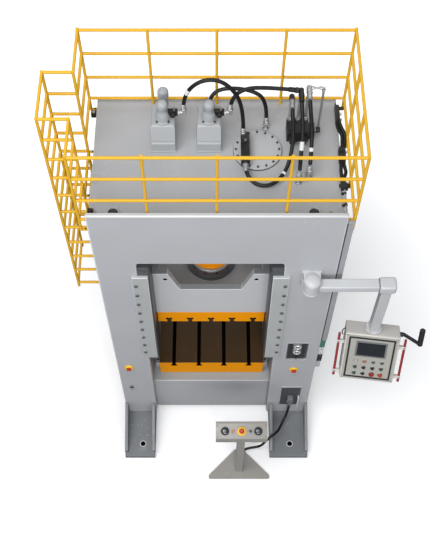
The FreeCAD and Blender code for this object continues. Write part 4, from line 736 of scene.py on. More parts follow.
def flexible(name, routes, radius, label, node):
    """Round hose or cord on smooth curves through its control points."""
    curve = bpy.data.curves.new(name, "CURVE")
    curve.dimensions = "3D"
    curve.bevel_depth = radius
    curve.bevel_resolution = 5
    curve.resolution_u = 10
    curve.use_fill_caps = True
    for route in routes:
        spline = curve.splines.new("NURBS")
        spline.points.add(len(route) - 1)
        for point, spot in zip(spline.points, route):
            point.co = (*spot, 1)
        spline.use_endpoint_u = True
        spline.order_u = 3
    curve.materials.append(FINISHES[label])
    piece = put(name, curve)
    belong(piece, "frame", label, [node])
    return piece


def control_cord():
    cord = flexible("console_cord", [CORD_ROUTE], CORD_RADIUS, "cord_black", "control_cord")
    low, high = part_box("cord_plug")
    middle = (low + high) / 2
    x, y, foot = CORD_ROUTE[0]
    relief, ribs, gland, latch = 0.05, 8, 0.08, 0.006
    seat = foot + gland
    plug = Workpiece("console_plug")
    plug.block((low.x, low.y, seat), high, "plug_grey", 0.008, 3)
    profile = []
    for k in range(ribs + 1):
        z = foot + relief * k / ribs
        radius = 0.0160 + 0.0030 * k / ribs
        profile += [(radius, z), (radius - 0.0015, z + 0.0005), (radius - 0.0015, z + 0.003)]
    profile += [(0.020, foot + relief + 0.002), (0.020, seat + 0.001)]
    plug.turned(profile, "knob_black", (x, y, 0), sides=24)
    plug.tube((middle.x, y, seat - 0.022), UP, 0.025, 0.010, 0.018, "socket_silver", 6)
    plug.block((low.x - latch, middle.y - 0.01, middle.z + 0.01),
               (high.x + latch, middle.y + 0.01, middle.z + 0.03), "collar_steel")
    plug.close("frame", "plug_grey", ["cord_plug"])
    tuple(CORD_ROUTE[0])


def bend_of(route, k, share):
    """The place and heading of a hose at a share of its bend round one of its control points."""
    before, corner, after = (Vector(route[j]) for j in (k - 1, k, k + 1))
    start = before if k == 1 else (before + corner) / 2
    end = after if k == len(route) - 2 else (corner + after) / 2
    first, second = start.lerp(corner, share), corner.lerp(end, share)
    return first.lerp(second, share), (second - first).normalized()


def hose_end(work, at, ahead, label):
    """A crimped ferrule and its union nut at the end of a hose."""
    way = Vector(ahead) - Vector(at)
    nut, grip = HOSE_RADIUS * 1.55, HOSE_RADIUS * 1.28
    seat, length, crimps = 0.025, 0.075, 5
    work.turned([(nut * 0.9, 0), (nut, 0.003), (nut, 0.022), (nut * 0.9, seat)], label, at, way, 6)
    profile = [(grip * 0.85, seat)]
    for k in range(crimps):
        z = 0.028 + (length - 0.030) * k / crimps
        profile += [(grip, z), (grip, z + 0.006), (grip - 0.0018, z + 0.0075)]
    work.turned(profile + [(grip, length), (grip - 0.002, length + 0.002)], label, at, way, 24)


def hoses():
    flexible("pump_hoses", DECK_HOSES, HOSE_RADIUS, "hose_black", "deck_hoses")
    flexible("riser_hoses", DROP_HOSES, HOSE_RADIUS, "hose_black", "drop_hoses")
    flexible("side_hoses", SIDE_HOSES, HOSE_RADIUS * 0.9, "hose_black", "drop_hoses")
    ends = Workpiece("hose_ferrules")
    for route in DECK_HOSES + DROP_HOSES:
        hose_end(ends, route[0], route[1], "valve_black" if route is DROP_HOSE_B else "fitting_steel")
        hose_end(ends, route[-1], route[-2], "valve_black" if route is PUMP_RIGHT_HOSE else "fitting_steel")
    for route, k, share, length in SLEEVES:
        middle, heading = bend_of(route, k, share)
        half = heading * length / 2
        ends.rod(middle - half, middle + half, HOSE_RADIUS + 0.002, "unit_white")
    ends.close("frame", "fitting_steel")


# ---- welded frame, tables and slide

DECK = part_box("deck_plate")[1].z
AXIS_X = sum(corner.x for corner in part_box("rod_flange")) / 2
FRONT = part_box("front_plate")[0].y
HALF_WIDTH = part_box("front_plate")[1].x

ANCHOR_X = 0.810
ANCHOR_INSET = 0.141
FOOT_PLATE = 0.060
CLAMP_BOLT = 0.014
LUG_HOLE_INSET = 0.108
LUG_HOLE_DROP = 0.099
GIB_SCREWS = 9
GIB_END = 0.8


def welded_frame():
    """The painted weldment, its flame-cut edges rounded off, with a lighter grey painted on the rounds as a
    highlight.
    """
    # The side walls and crown floor wear a darker grey: painted shade inside the frame.
    for node, label, edge in (
        ("front_plate", "frame_grey", 0.012),
        ("rear_plate", "frame_grey", 0.008),
        ("side_walls", "inner_shade_grey", 0.004),
        ("crown_floor", "inner_shade_grey", 0.004),
        ("deck_plate", "deck_grey", 0.004),
        # The feet: a darker grey painted as the shadow the press casts on them.
        ("feet", "foot_shade_grey", 0.008),
        ("bolster_clamps", "frame_grey", 0.008),
    ):
        softened(node, "frame", edge, [label], edge_highlight="highlight_grey")

    # The bed's upward faces are painted a darker, bluer grey as shade.
    def shaded_top_faces(middle, normal):
        return int(normal.z > 0.9)

    softened("bed", "frame", 0.006, ["frame_grey", "ledge_shade_grey"], shaded_top_faces, edge_highlight="highlight_grey")


def slotted_table(node, body, mouth_up, face_label):
    """An orange table whose working face is bare and whose T-slots are painted near-black as shade."""
    low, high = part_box(node)
    face, back = (high.z, low.z) if mouth_up else (low.z, high.z)

    def pick(middle, normal):
        if abs(middle.z - face) < 0.001:
            return 1
        outside = min(middle.x - low.x, high.x - middle.x) < 0.001
        return 0 if abs(normal.y) > 0.9 or abs(middle.z - back) < 0.001 or outside else 2

    softened(node, body, 0.003, ["plate_orange", face_label, "recess_shade_dark"], pick)


def clamp_bolts():
    """A stud and nut through each bolster clamp."""
    low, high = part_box("bolster_clamps")
    spots = [(x, y, high.z + 0.008) for x in (low.x + 0.022, high.x - 0.022) for y in (-0.36, 0.36)]
    screws("clamp_nuts", spots, UP, CLAMP_BOLT, 0.016, "frame", 6, 0.55)


def anchor_holes():
    """The four anchor holes in the floor plates, each with a light ring painted round it as a highlight and a
    dark disc painted in its bore as shade.
    """
    low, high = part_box("feet")
    work = Workpiece("anchor_hole_highlights_and_shade")
    for side, end in CORNERS:
        at = (ANCHOR_X * side, high.y - ANCHOR_INSET if end > 0 else low.y + ANCHOR_INSET, FOOT_PLATE)
        work.ring([(0.028, -0.001), (0.036, -0.001), (0.036, 0.001), (0.028, 0.001)], "highlight_grey", at)
        work.turned([(0.0281, -0.001), (0.0281, 0.0006)], "recess_shade_dark", at)
    work.close("frame")


def slide_tub():
    low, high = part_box("slide_body")
    middle = (low + high) / 2

    # The upward faces of the tub's upper half, its wall tops, are painted darker as shade.
    def shaded_wall_top(spot, normal):
        return int(normal.z > 0.5 and spot.z > middle.z)

    # The tub is painted a lighter grey than the frame, as painted light against the shade under the window's
    # top; its rounds get the painted highlight.
    softened("slide_body", "slide", 0.008, ["slide_lit_grey", "wall_top_shade_grey"], shaded_wall_top, edge_highlight="highlight_grey")
    # Dark discs just inside the lug holes: painted shade, in place of the lit rear wall seen through them.
    hole_shades = Workpiece("lug_hole_shades")
    for side in (-1, 1):
        at = (middle.x + (high.x - middle.x - LUG_HOLE_INSET) * side, low.y + 0.004, high.z - LUG_HOLE_DROP)
        hole_shades.turned([(0.0205, -0.012), (0.0205, 0), (0.017, 0), (0.017, -0.010)], "recess_shade_dark", at, FORWARD)
    hole_shades.close("slide")


def guides():
    softened("guide_rails", "frame", 0.003, ["guide_dark"])
    # Gib plates: their rounds painted a lighter grey as a highlight.
    softened("gib_plates", "frame", 0.005, ["gib_grey"], edge_highlight="highlight_grey")
    low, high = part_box("gib_plates")
    screw_low, screw_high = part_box("cap_screws")
    pitch = (high.z - low.z) / (GIB_SCREWS - 1 + 2 * GIB_END)
    inset = 0.013
    spots = [(x, screw_low.y + 0.005, low.z + pitch * (k + GIB_END))
             for x in (screw_low.x + inset, screw_high.x - inset) for k in range(GIB_SCREWS)]
    screws("gib_screws", spots, FORWARD, 0.017, 0.010, "frame", label="bezel_grey", replaces=["cap_screws"])


# ---- hydraulic cylinder

AXIS = Matrix.Translation((AXIS_X, 0, 0))
ROD_RADIUS = 0.140
BARREL = 0.215
BARREL_BORE = 0.165
PAINTED_END = 0.080
FINE = 96


def rounded(radius, low, high, edge):
    """The outside of a turned form, its top rim rounded."""
    turns = (1.57, 1.05, 0.52, 0.0)
    soft = [(radius - edge + edge * math.sin(a), high - edge + edge * math.cos(a)) for a in turns]
    return [(radius - edge / 2, low), (radius, low + edge / 2)] + soft


def bored(radius, bore, low, high, edge):
    return [(bore, low)] + rounded(radius, low, high, edge) + [(bore, high)]


def hydraulic_cylinder():
    low, high = (corner.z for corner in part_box("cylinder"))
    painted = low + PAINTED_END
    barrel = Workpiece("cylinder_barrel", AXIS)
    barrel.ring(bored(BARREL, BARREL_BORE, painted, high, 0.012), "frame_grey", sides=FINE)
    barrel.ring(bored(BARREL, BARREL_BORE, low, painted, 0.001), "gland_orange", sides=FINE)
    barrel.turned(rounded(BARREL_BORE, high - 0.070, high - 0.002, 0.004), "frame_grey", sides=64)
    barrel.close("frame", "frame_grey", ["cylinder"])

    low, high = (corner.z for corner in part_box("gland_ring"))
    gland = Workpiece("gland_nut", AXIS)
    outer, bore, groove = 0.200, 0.1405, 0.197
    gland.ring([(bore, low), (0.190, low), (outer, low + 0.010), (outer, low + 0.034), (groove, low + 0.037),
                (groove, low + 0.043), (outer, low + 0.046), (outer, high), (bore, high)],
               "gland_orange", sides=FINE)
    wiper = 0.1402
    gland.ring([(wiper, low - 0.002), (0.150, low - 0.002), (0.152, low + 0.002), (wiper, low + 0.002)],
               "gasket_black", sides=FINE)
    gland.close("frame", "gland_orange", ["gland_ring"])

    low, high = (corner.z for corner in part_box("piston_rod"))
    rod = Workpiece("chromed_rod", AXIS)
    piston, step = 0.1649, high - 0.120
    profile = [(ROD_RADIUS, low), (ROD_RADIUS, step), (piston, step), (piston, high)]
    rod.turned(profile, "rod_chrome", sides=FINE)
    rod.close("slide", "rod_chrome", ["piston_rod"])

    low, high = (corner.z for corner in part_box("rod_flange"))
    seat = high - 0.030
    flange = Workpiece("rod_flange_ring", AXIS)
    flange.ring(bored(0.235, ROD_RADIUS, low, seat, 0.006), "flange_dark", sides=FINE)
    flange.ring(bored(0.190, ROD_RADIUS, seat - 0.001, high, 0.008), "rod_chrome", sides=FINE)
    flange.close("slide", "flange_dark", ["rod_flange"])
    spots = bolt_circle((AXIS_X, 0, seat), 0.213, 12, 0.008, 0.5)
    screws("flange_screws", spots, UP, 0.013, 0.016, "slide", label="flange_dark")


# ---- guard rail and ladder cage

TUBE = 0.023
HALF_TUBE = TUBE / 2
RAIL_X = 1.060
RAIL_FRONT = -0.592
RAIL_REAR = 0.605
RAIL_LEVELS = [DECK + level + HALF_TUBE for level in (0.047, 0.305, 0.580, 0.837)]
RAIL_TOP = DECK + 0.867
POST_FOOT = DECK - 0.090
LUG = 0.012
CAGE_X = -1.290
CAGE_FRONT = -0.257
CAGE_REAR = 0.180
CAGE_BOTTOM = 2.300
CAGE_PITCH = 0.240
STILE_BOTTOM = 0.250
RUNG = 0.022
RUNG_PITCH = 0.280
RUNG_START = 0.168


def upright(x, y, low, high):
    return (Vector((x, y, low)), Vector((x, y, high)))


def along(x, start, end, z):
    """A level tube between two uprights, towards the rear."""
    return (Vector((x, start + HALF_TUBE, z)), Vector((x, end - HALF_TUBE, z)))


def across(left, right, y, z):
    """A level tube between two uprights, towards the right."""
    return (Vector((left + HALF_TUBE, y, z)), Vector((right - HALF_TUBE, y, z)))


def side_lug(work, x, y, z):
    """The lug that carries a post off the side wall, with its bolt."""
    side = 1 if x > 0 else -1
    near, far = sorted((HALF_WIDTH * side, x - HALF_TUBE * side))
    work.block((near, y - HALF_TUBE, z), (far, y + HALF_TUBE, z + LUG), "rail_yellow")
    work.stub(((near + far) / 2, y, z + LUG), UP, 0.008, 0.008, "screw_steel", 6)


def guard_rail():
    runs = []
    lugs = Workpiece("rail_feet")
    bay = (RAIL_REAR - RAIL_FRONT) / 3
    stops = [RAIL_FRONT + bay * k for k in range(4)]
    posts = [(x, y) for y in (RAIL_FRONT, RAIL_REAR) for x in (-RAIL_X, RAIL_X)]
    for x, y in posts + [(RAIL_X, y) for y in stops[1:3]]:
        runs.append(upright(x, y, POST_FOOT, RAIL_TOP))
        side_lug(lugs, x, y, POST_FOOT)
    for y, inward in ((RAIL_FRONT, 1), (RAIL_REAR, -1)):
        runs += [upright(RAIL_X * k / 2, y + 0.008 * inward, DECK, RAIL_TOP - 0.006) for k in (-1, 0, 1)]
        runs += [across(-RAIL_X, RAIL_X, y, z) for z in RAIL_LEVELS]
    for start, end in zip(stops, stops[1:]):
        runs += [along(RAIL_X, start, end, z) for z in RAIL_LEVELS]
    for start, end in ((RAIL_FRONT, CAGE_FRONT), (CAGE_REAR, RAIL_REAR)):
        runs += [along(-RAIL_X, start, end, z) for z in RAIL_LEVELS]
    square_tubes("guard_rail", runs, TUBE, ["railing"])
    lugs.close("frame", "rail_yellow", ["railing"])


def ladder_cage():
    runs = []
    lugs = Workpiece("ladder_lugs")
    for y in (CAGE_FRONT, CAGE_REAR):
        runs.append(upright(-RAIL_X, y, STILE_BOTTOM, RAIL_TOP))
        runs.append(upright(CAGE_X, y, CAGE_BOTTOM, RAIL_TOP))
        for z in (STILE_BOTTOM + 0.150, CAGE_BOTTOM, DECK - 0.120):
            side_lug(lugs, -RAIL_X, y, z)
    for k in range(int((RAIL_TOP - CAGE_BOTTOM) / CAGE_PITCH) + 1):
        z = RAIL_TOP - HALF_TUBE - CAGE_PITCH * k
        runs += [across(CAGE_X, -RAIL_X, y, z) for y in (CAGE_FRONT, CAGE_REAR)]
        runs.append(along(CAGE_X, CAGE_FRONT, CAGE_REAR, z))
    square_tubes("cage_tubes", runs, TUBE, ["ladder_cage"])
    lugs.close("frame", "rail_yellow", ["ladder_cage"])
    rungs = int((DECK - STILE_BOTTOM) / RUNG_PITCH)
    levels = [STILE_BOTTOM + RUNG_START + RUNG_PITCH * k + RUNG / 2 for k in range(rungs)]
    runs = [along(-RAIL_X, CAGE_FRONT, CAGE_REAR, z) for z in levels]
    square_tubes("ladder_rungs", runs, RUNG, ["ladder_cage"], 0.009)


# ---- equipment on the deck, above its top

ON_DECK = Matrix.Translation(UP * DECK)
HOUSINGS = (-0.428, -0.062)
HOUSING_HALF = 0.095
HOUSING_FRONT = 0.095
HOUSING_REAR = 0.365
HOUSING_TOP = 0.250
CAP_Y = 0.235
CAP_RADIUS = 0.044
CAP_TOP = 0.455
STUB_TOP = 0.400
VALVE_LOW = CAP_TOP - 0.150
VALVE_HIGH = VALVE_LOW + 0.050
VALVE_HALF = 0.020
ELBOW_X = 0.167

COVER = Vector((0.329, 0.103, 0))
COVER_RADIUS = 0.195
COVER_TOP = 0.022
BLOCK_X = 0.228
BLOCK_HALF = 0.035
BLOCK_FRONT = -0.071
BLOCK_REAR = 0.219
BLOCK_TOP = COVER_TOP + 0.085
MAIN_LOW = Vector((0.566, 0.195, 0))
MAIN_HIGH = Vector((0.742, 0.349, 0.120))

RISER_Y = 0.329
RISERS = ((0.590, 0.423), (0.657, 0.497), (0.717, 0.528))
CROSS_X = 0.832
DECK_FLANGES = ((0.647, -0.200), (0.732, -0.140), (0.403, 0.345))
LIFTING_SOCKETS = ((-0.808, -0.500), (0.759, -0.500))
BREATHERS = ((-0.940, -0.520), (0.880, -0.520))
CLEATS = ((-0.985, -0.560), (-0.985, -0.500), (0.985, -0.550))


def dome(radius, top, rise):
    """The end of a profile that closes in a low dome."""
    turns = (0.0, 0.3, 0.6, 0.9, 1.15, 1.4)
    return [(radius * math.cos(a), top - rise + rise * math.sin(a)) for a in turns] + [(0, top)]


def pump_cap(work, x):
    """A cast cap: flange, flared foot, waist and domed head. Returns the places of its four bolts."""
    seat = HOUSING_TOP
    foot = [(0.070, -0.002), (0.070, 0.010), (0.067, 0.014), (0.060, 0.016), (0.056, 0.060), (0.050, 0.085),
            (0.041, 0.100)]
    waist = [(0.040, CAP_TOP - 0.078), (CAP_RADIUS, CAP_TOP - 0.070)]
    profile = [(radius, seat + height) for radius, height in foot] + waist + dome(CAP_RADIUS, CAP_TOP, 0.032)
    work.turned(profile, "housing_grey", (x, CAP_Y, 0), sides=48)
    return bolt_circle((x, CAP_Y, DECK + seat + 0.013), 0.064, 4, 0.005, 0.5)


def stop_valve(work, x):
    """The black valve on the right of a cap, with its knob towards the front and a union at the end."""
    start = x + CAP_RADIUS - 0.002
    end = start + 0.078
    front = CAP_Y - VALVE_HALF
    work.block((start, front, VALVE_LOW), (end, CAP_Y + VALVE_HALF, VALVE_HIGH), "valve_black", 0.004)
    middle = Vector(((start + end) / 2, front, (VALVE_LOW + VALVE_HIGH) / 2))
    work.stub(middle, FORWARD, 0.008, 0.015, "collar_steel")
    knob = [(0.019, 0.006), (0.022, 0.010), (0.022, 0.022), (0.018, 0.026)]
    work.turned(knob, "valve_black", middle, FORWARD, 12)
    work.stub((middle.x + 0.012, CAP_Y, VALVE_HIGH), UP, 0.010, 0.009, "collar_steel", 6)


def valve_elbow(work, x):
    start = Vector((x + 0.119, CAP_Y, (VALVE_LOW + VALVE_HIGH) / 2))
    corner = Vector((x + ELBOW_X, CAP_Y, start.z))
    work.stub(start, RIGHT, 0.018, 0.021, "fitting_steel", 6, 0.002)
    work.rod(start, corner + RIGHT * 0.016, 0.017, "fitting_steel", 24, 0.004)
    work.rod(corner - UP * 0.016, corner + UP * 0.025, 0.017, "fitting_steel", 24, 0.004)


def pump_housings():
    """Cast housings with rounded corners, bolted caps, stop valves and elbows."""
    softened("pump_housings", "frame", 0.020, ["housing_grey"], steps=4, turn=20)
    caps = Workpiece("pump_caps", ON_DECK)
    valves = Workpiece("pump_stop_valves", ON_DECK)
    elbows = Workpiece("valve_elbows", ON_DECK)
    lip = 0.010
    reach = HOUSING_HALF + lip
    spots = []
    for x in HOUSINGS:
        caps.block((x - reach, HOUSING_FRONT - lip, 0), (x + reach, HOUSING_REAR + lip, 0.014),
                   "housing_grey", 0.005)
        spots += pump_cap(caps, x)
        stop_valve(valves, x)
        valve_elbow(elbows, x)
    rear = Vector((HOUSINGS[1], CAP_Y + CAP_RADIUS - 0.003, VALVE_HIGH - 0.003))
    elbows.rod(rear - REARWARD * 0.002, rear + REARWARD * 0.004, 0.020, "fitting_steel", 6)
    caps.turned([(0.056, 0), (0.056, 0.012), (0.038, 0.016), (0.038, STUB_TOP - 0.090),
                 (CAP_RADIUS, STUB_TOP - 0.084)] + dome(CAP_RADIUS, STUB_TOP, 0.030),
                "housing_grey", (HOUSINGS[0], HOUSING_REAR + CAP_RADIUS, 0), sides=40)
    caps.close("frame", "housing_grey", ["housing_caps"])
    valves.close("frame", "valve_black", ["stop_valves"])
    elbows.close("frame", "fitting_steel", ["pipe_fittings"])
    screws("cap_bolts", spots, UP, 0.009, 0.010, "frame")


def tank_cover():
    cover = Workpiece("bolted_cover", ON_DECK)
    gasket, thickness = COVER_RADIUS + 0.003, 0.004
    cover.turned([(gasket, 0), (gasket, thickness)], "gasket_black", COVER, sides=FINE)
    cover.turned(rounded(COVER_RADIUS, thickness, COVER_TOP, 0.004), "cover_grey", COVER, sides=FINE)
    cover.close("frame", "housing_grey", ["tank_cover"])
    spots = bolt_circle(COVER + UP * (DECK + COVER_TOP), COVER_RADIUS - 0.020, 16, 0.004)
    screws("cover_bolts", spots, UP, 0.009, 0.008, "frame")


def valve_blocks():
    """The black hydraulic blocks on the deck, with their plugs, coils and knobs."""
    work = Workpiece("valve_blocks", ON_DECK)
    work.block((BLOCK_X - BLOCK_HALF, BLOCK_FRONT, COVER_TOP), (BLOCK_X + BLOCK_HALF, BLOCK_REAR, BLOCK_TOP),
               "valve_black", 0.005)
    cap = Vector((BLOCK_X, BLOCK_REAR - 0.091, BLOCK_TOP))
    work.stub(cap, UP, 0.013, 0.024, "coil_black", 32, 0.003)
    work.rod(cap + UP * 0.013, cap + UP * 0.016, 0.010, "collar_steel", 6)
    for k in range(3):
        spot = (BLOCK_X + BLOCK_HALF, BLOCK_FRONT + 0.050 + 0.080 * k, (COVER_TOP + BLOCK_TOP) / 2)
        work.stub(spot, RIGHT, 0.005, 0.013, "collar_steel", 6)
    work.block(MAIN_LOW, MAIN_HIGH, "valve_black", 0.005)
    work.block((MAIN_HIGH.x - 0.002, 0.222, 0), (0.792, 0.322, 0.095), "valve_black", 0.004)
    knob = (0.792, 0.272, 0.060)
    work.stub(knob, RIGHT, 0.012, 0.016, "collar_steel")
    profile = [(0.021, 0.010), (0.024, 0.014), (0.024, 0.042), (0.020, 0.046)]
    work.turned(profile, "coil_black", knob, RIGHT, 16)
    for k in (1, 3):
        start = Vector((MAIN_LOW.x + (MAIN_HIGH.x - MAIN_LOW.x) * k / 4, MAIN_LOW.y, 0.060))
        work.stub(start, FORWARD, 0.008, 0.020, "collar_steel")
        work.block(start + Vector((-0.024, -0.052, -0.024)), start + Vector((0.024, -0.008, 0.024)),
                   "coil_black", 0.005)
        work.rod(start + FORWARD * 0.052, start + FORWARD * 0.060, 0.011, "collar_steel", 6)
    for x in (0.606, 0.700):
        work.stub((x, 0.222, MAIN_HIGH.z), UP, 0.012, 0.013, "coil_black", 6)
    work.block((-1.046, 0.480, -0.046), (-1.0, 0.526, 0), "valve_black", 0.004)
    work.stub((-1.023, 0.503, 0), UP, 0.010, 0.014, "fitting_steel", 6)
    work.close("frame", "valve_black", ["manifolds"])


def nut(work, at, way, radius, length):
    """A hexagon union nut that starts at a point."""
    work.stub(at, way, length, radius, "fitting_steel", 6, 0.002)


def pipework():
    """Steel risers with their unions and elbows, the cross pipe and the deck flanges."""
    work = Workpiece("steel_pipework", ON_DECK)
    for x, top in RISERS:
        seat = Vector((x, RISER_Y, MAIN_HIGH.z))
        bend = Vector((x, RISER_Y, top - 0.020))
        work.rod(seat, bend + UP * 0.016, 0.013, "fitting_steel", 24, 0.006)
        nut(work, seat, UP, 0.020, 0.024)
        nut(work, seat + UP * 0.030, UP, 0.018, 0.014)
        nut(work, bend - UP * 0.042, UP, 0.019, 0.022)
        elbow = "fitting_steel" if x == RISERS[2][0] else "valve_black"
        work.rod(bend + REARWARD * 0.016, bend - REARWARD * 0.036, 0.022, elbow, 24, 0.006)
        work.rod(bend - UP * 0.030, bend + UP * 0.020, 0.021, elbow, 24, 0.006)
    tee = Vector((RISERS[2][0], RISER_Y, RISERS[2][1] - 0.020))
    corner = Vector((CROSS_X, RISER_Y, tee.z))
    foot = Vector((CROSS_X, RISER_Y, 0))
    work.rod(tee, corner + RIGHT * 0.010, 0.010, "fitting_steel", 20, 0.004)
    work.rod(corner + UP * 0.010, foot, 0.010, "fitting_steel", 20, 0.004)
    nut(work, tee + RIGHT * 0.016, RIGHT, 0.017, 0.022)
    nut(work, corner - RIGHT * 0.034, RIGHT, 0.015, 0.018)
    nut(work, corner - UP * 0.034, UP, 0.015, 0.018)
    nut(work, foot, UP, 0.018, 0.018)
    spots = []
    for x, y in DECK_FLANGES:
        seat = Vector((x, y, 0))
        work.stub(seat, UP, 0.014, 0.032, "fitting_steel", 32, 0.003)
        work.stub(seat, UP, 0.060, 0.016, "fitting_steel", 24, 0.002)
        nut(work, seat + UP * 0.030, UP, 0.020, 0.026)
        spots += bolt_circle((x, y, DECK), 0.025, 4, 0.016, 0.5)
    work.close("frame", "fitting_steel", ["pipe_fittings"])
    screws("deck_flange_bolts", spots, UP, 0.0045, 0.005, "frame", 10)


def lifting_sockets():
    work = Workpiece("lifting_rings", ON_DECK)
    for x, y in LIFTING_SOCKETS:
        work.tube((x, y, 0), UP, 0.052, 0.040, 0.018, "frame_grey", 48, 0.004)
        # A dark disc low in each socket: painted shade inside the open tube.
        work.turned([(0.0405, 0.001), (0.0405, 0.003)], "services_dark", (x, y, 0), sides=40)
    for x, y in BREATHERS:
        work.stub((x, y, 0), UP, 0.034, 0.016, "unit_white", 24, 0.006)
        work.stub((x, y, 0.034), UP, 0.010, 0.011, "brass", 16, 0.003)
    for x, y in CLEATS:
        work.block((x - 0.022, y, 0), (x + 0.022, y + 0.030, 0.034), "valve_black", 0.004)
    work.close("frame", "frame_grey", ["lifting_sockets"])


# ---- services on the right side

SIDE = Matrix.Translation((HALF_WIDTH, FRONT + 0.010, 0))
DECK_EDGE = Matrix.Translation((HALF_WIDTH - 0.022, 0, DECK))
DUCT_DEPTH = 0.028
UNIT_LOW = 1.420
UNIT_STEP = 0.160

# Black valves, unions and a drain pipe along the right edge of the deck, seen from above.
EDGE_BLOCKS = (
    ((0, 0.363, 0), (0.010, 0.551, 0.060), "services_dark", 0.002),
    ((0.008, 0.385, 0), (0.036, 0.545, 0.050), "valve_black", 0.004),
    ((0, -0.027, 0), (0.055, 0.093, 0.070), "valve_black", 0.004),
    ((0, -0.290, 0), (0.055, -0.230, 0.040), "valve_black", 0.003),
    ((-0.012, -0.268, 0.012), (0.090, -0.240, 0.034), "coil_black", 0.003),
    ((0, -0.330, 0), (0.042, -0.318, 0.028), "valve_black", 0.002),
    ((0, -0.440, 0), (0.042, -0.428, 0.028), "valve_black", 0.002),
)
EDGE_STUBS = (
    ((0.022, 0.520, 0.030), RIGHT, 0.063, 0.014, "valve_black", 16, 0.003),
    ((0.036, 0.455, 0.035), RIGHT, 0.018, 0.015, "socket_silver", 6, 0.002),
    ((0.036, 0.400, 0.030), RIGHT, 0.014, 0.012, "fitting_steel", 6, 0.002),
    ((0.020, 0.005, 0.070), UP, 0.010, 0.012, "coil_black", 6),
    ((0.020, 0.055, 0.070), UP, 0.010, 0.012, "coil_black", 6),
    ((0.054, 0.062, 0.040), RIGHT, 0.016, 0.015, "socket_silver", 6, 0.002),
    ((0.054, 0.010, 0.035), RIGHT, 0.046, 0.010, "valve_black", 16, 0.003),
    ((0.098, 0.010, 0.035), RIGHT, 0.014, 0.014, "valve_black", 16, 0.003),
    ((0.028, -0.420, 0), UP, 0.040, 0.012, "brass", 16),
    ((0.030, -0.288, 0.015), FORWARD, 0.232, 0.009, "duct_grey", 16, 0.003),
)


def side_services():
    work = Workpiece("side_services_dressed", SIDE)
    work.block((0, 0, 1.900), (0.055, DUCT_DEPTH, 3.990), "duct_grey", 0.003)
    work.block((0, -0.002, 1.902), (0.008, DUCT_DEPTH, 3.985), "services_dark", 0.001)
    for k, label in enumerate(("knob_black", "unit_white", "unit_green")):
        low = UNIT_LOW + UNIT_STEP * k
        work.block((0, 0, low), (0.049, 0.060 - 0.006 * k, low + UNIT_STEP), label, 0.005)
        for j in (1, 3):
            work.stub((0.024, 0, low + UNIT_STEP * j / 4), FORWARD, 0.004, 0.007, "collar_steel", 12)
    work.block((0, 0, 1.280), (0.043, DUCT_DEPTH, UNIT_LOW), "frame_grey", 0.004)
    work.place = DECK_EDGE
    for row in EDGE_BLOCKS:
        work.block(*row)
    for row in EDGE_STUBS:
        work.stub(*row)
    work.close("frame", "services_dark", ["side_services"])


# ---- controls on the legs

ON_FRONT = Matrix.Translation((0, FRONT, 0))
PANEL = Vector((0.787, 0, 1.660))
PANEL_HALF = Vector((0.100, 0, 0.200))
BOARD = 0.020
KNOB_HEIGHT = 1.517
SOCKET = Vector((0.797, 0, 0.537))
SOCKET_HALF = Vector((0.115, 0, 0.250))
LOCK = (-0.894, 0, 0.799)
LEG_ESTOPS = (("left", -0.885, 1.286), ("right", 0.786, 1.241))


def mushroom(name, place, at, way, body, node):
    """A mushroom head on its stem, with a softly domed top and a turn-to-release ring."""
    work = Workpiece(name, place)
    r, stem, lift, base = 0.024, 0.012, 0.007, 0.016
    work.turned([(stem, lift), (stem, base), (r * 0.90, base), (r, base + 0.004), (r, base + 0.010),
                 (r * 0.94, base + 0.015), (r * 0.72, base + 0.0185), (r * 0.62, base + 0.0175),
                 (r * 0.55, base + 0.019), (0, base + 0.020)], "stop_red", at, way, 48)
    work.close(body, "stop_red", [node])


def estop_ring(work, at, way=None):
    """The yellow ring round an emergency stop, dished towards its head."""
    bore, outer = 0.0122, 0.045
    work.ring([(bore, 0), (outer, 0), (outer, 0.010), (outer - 0.004, 0.015), (outer - 0.010, 0.018),
               (0.029, 0.018), (0.0262, 0.008), (bore, 0.008)], "estop_yellow", at, way, 48)


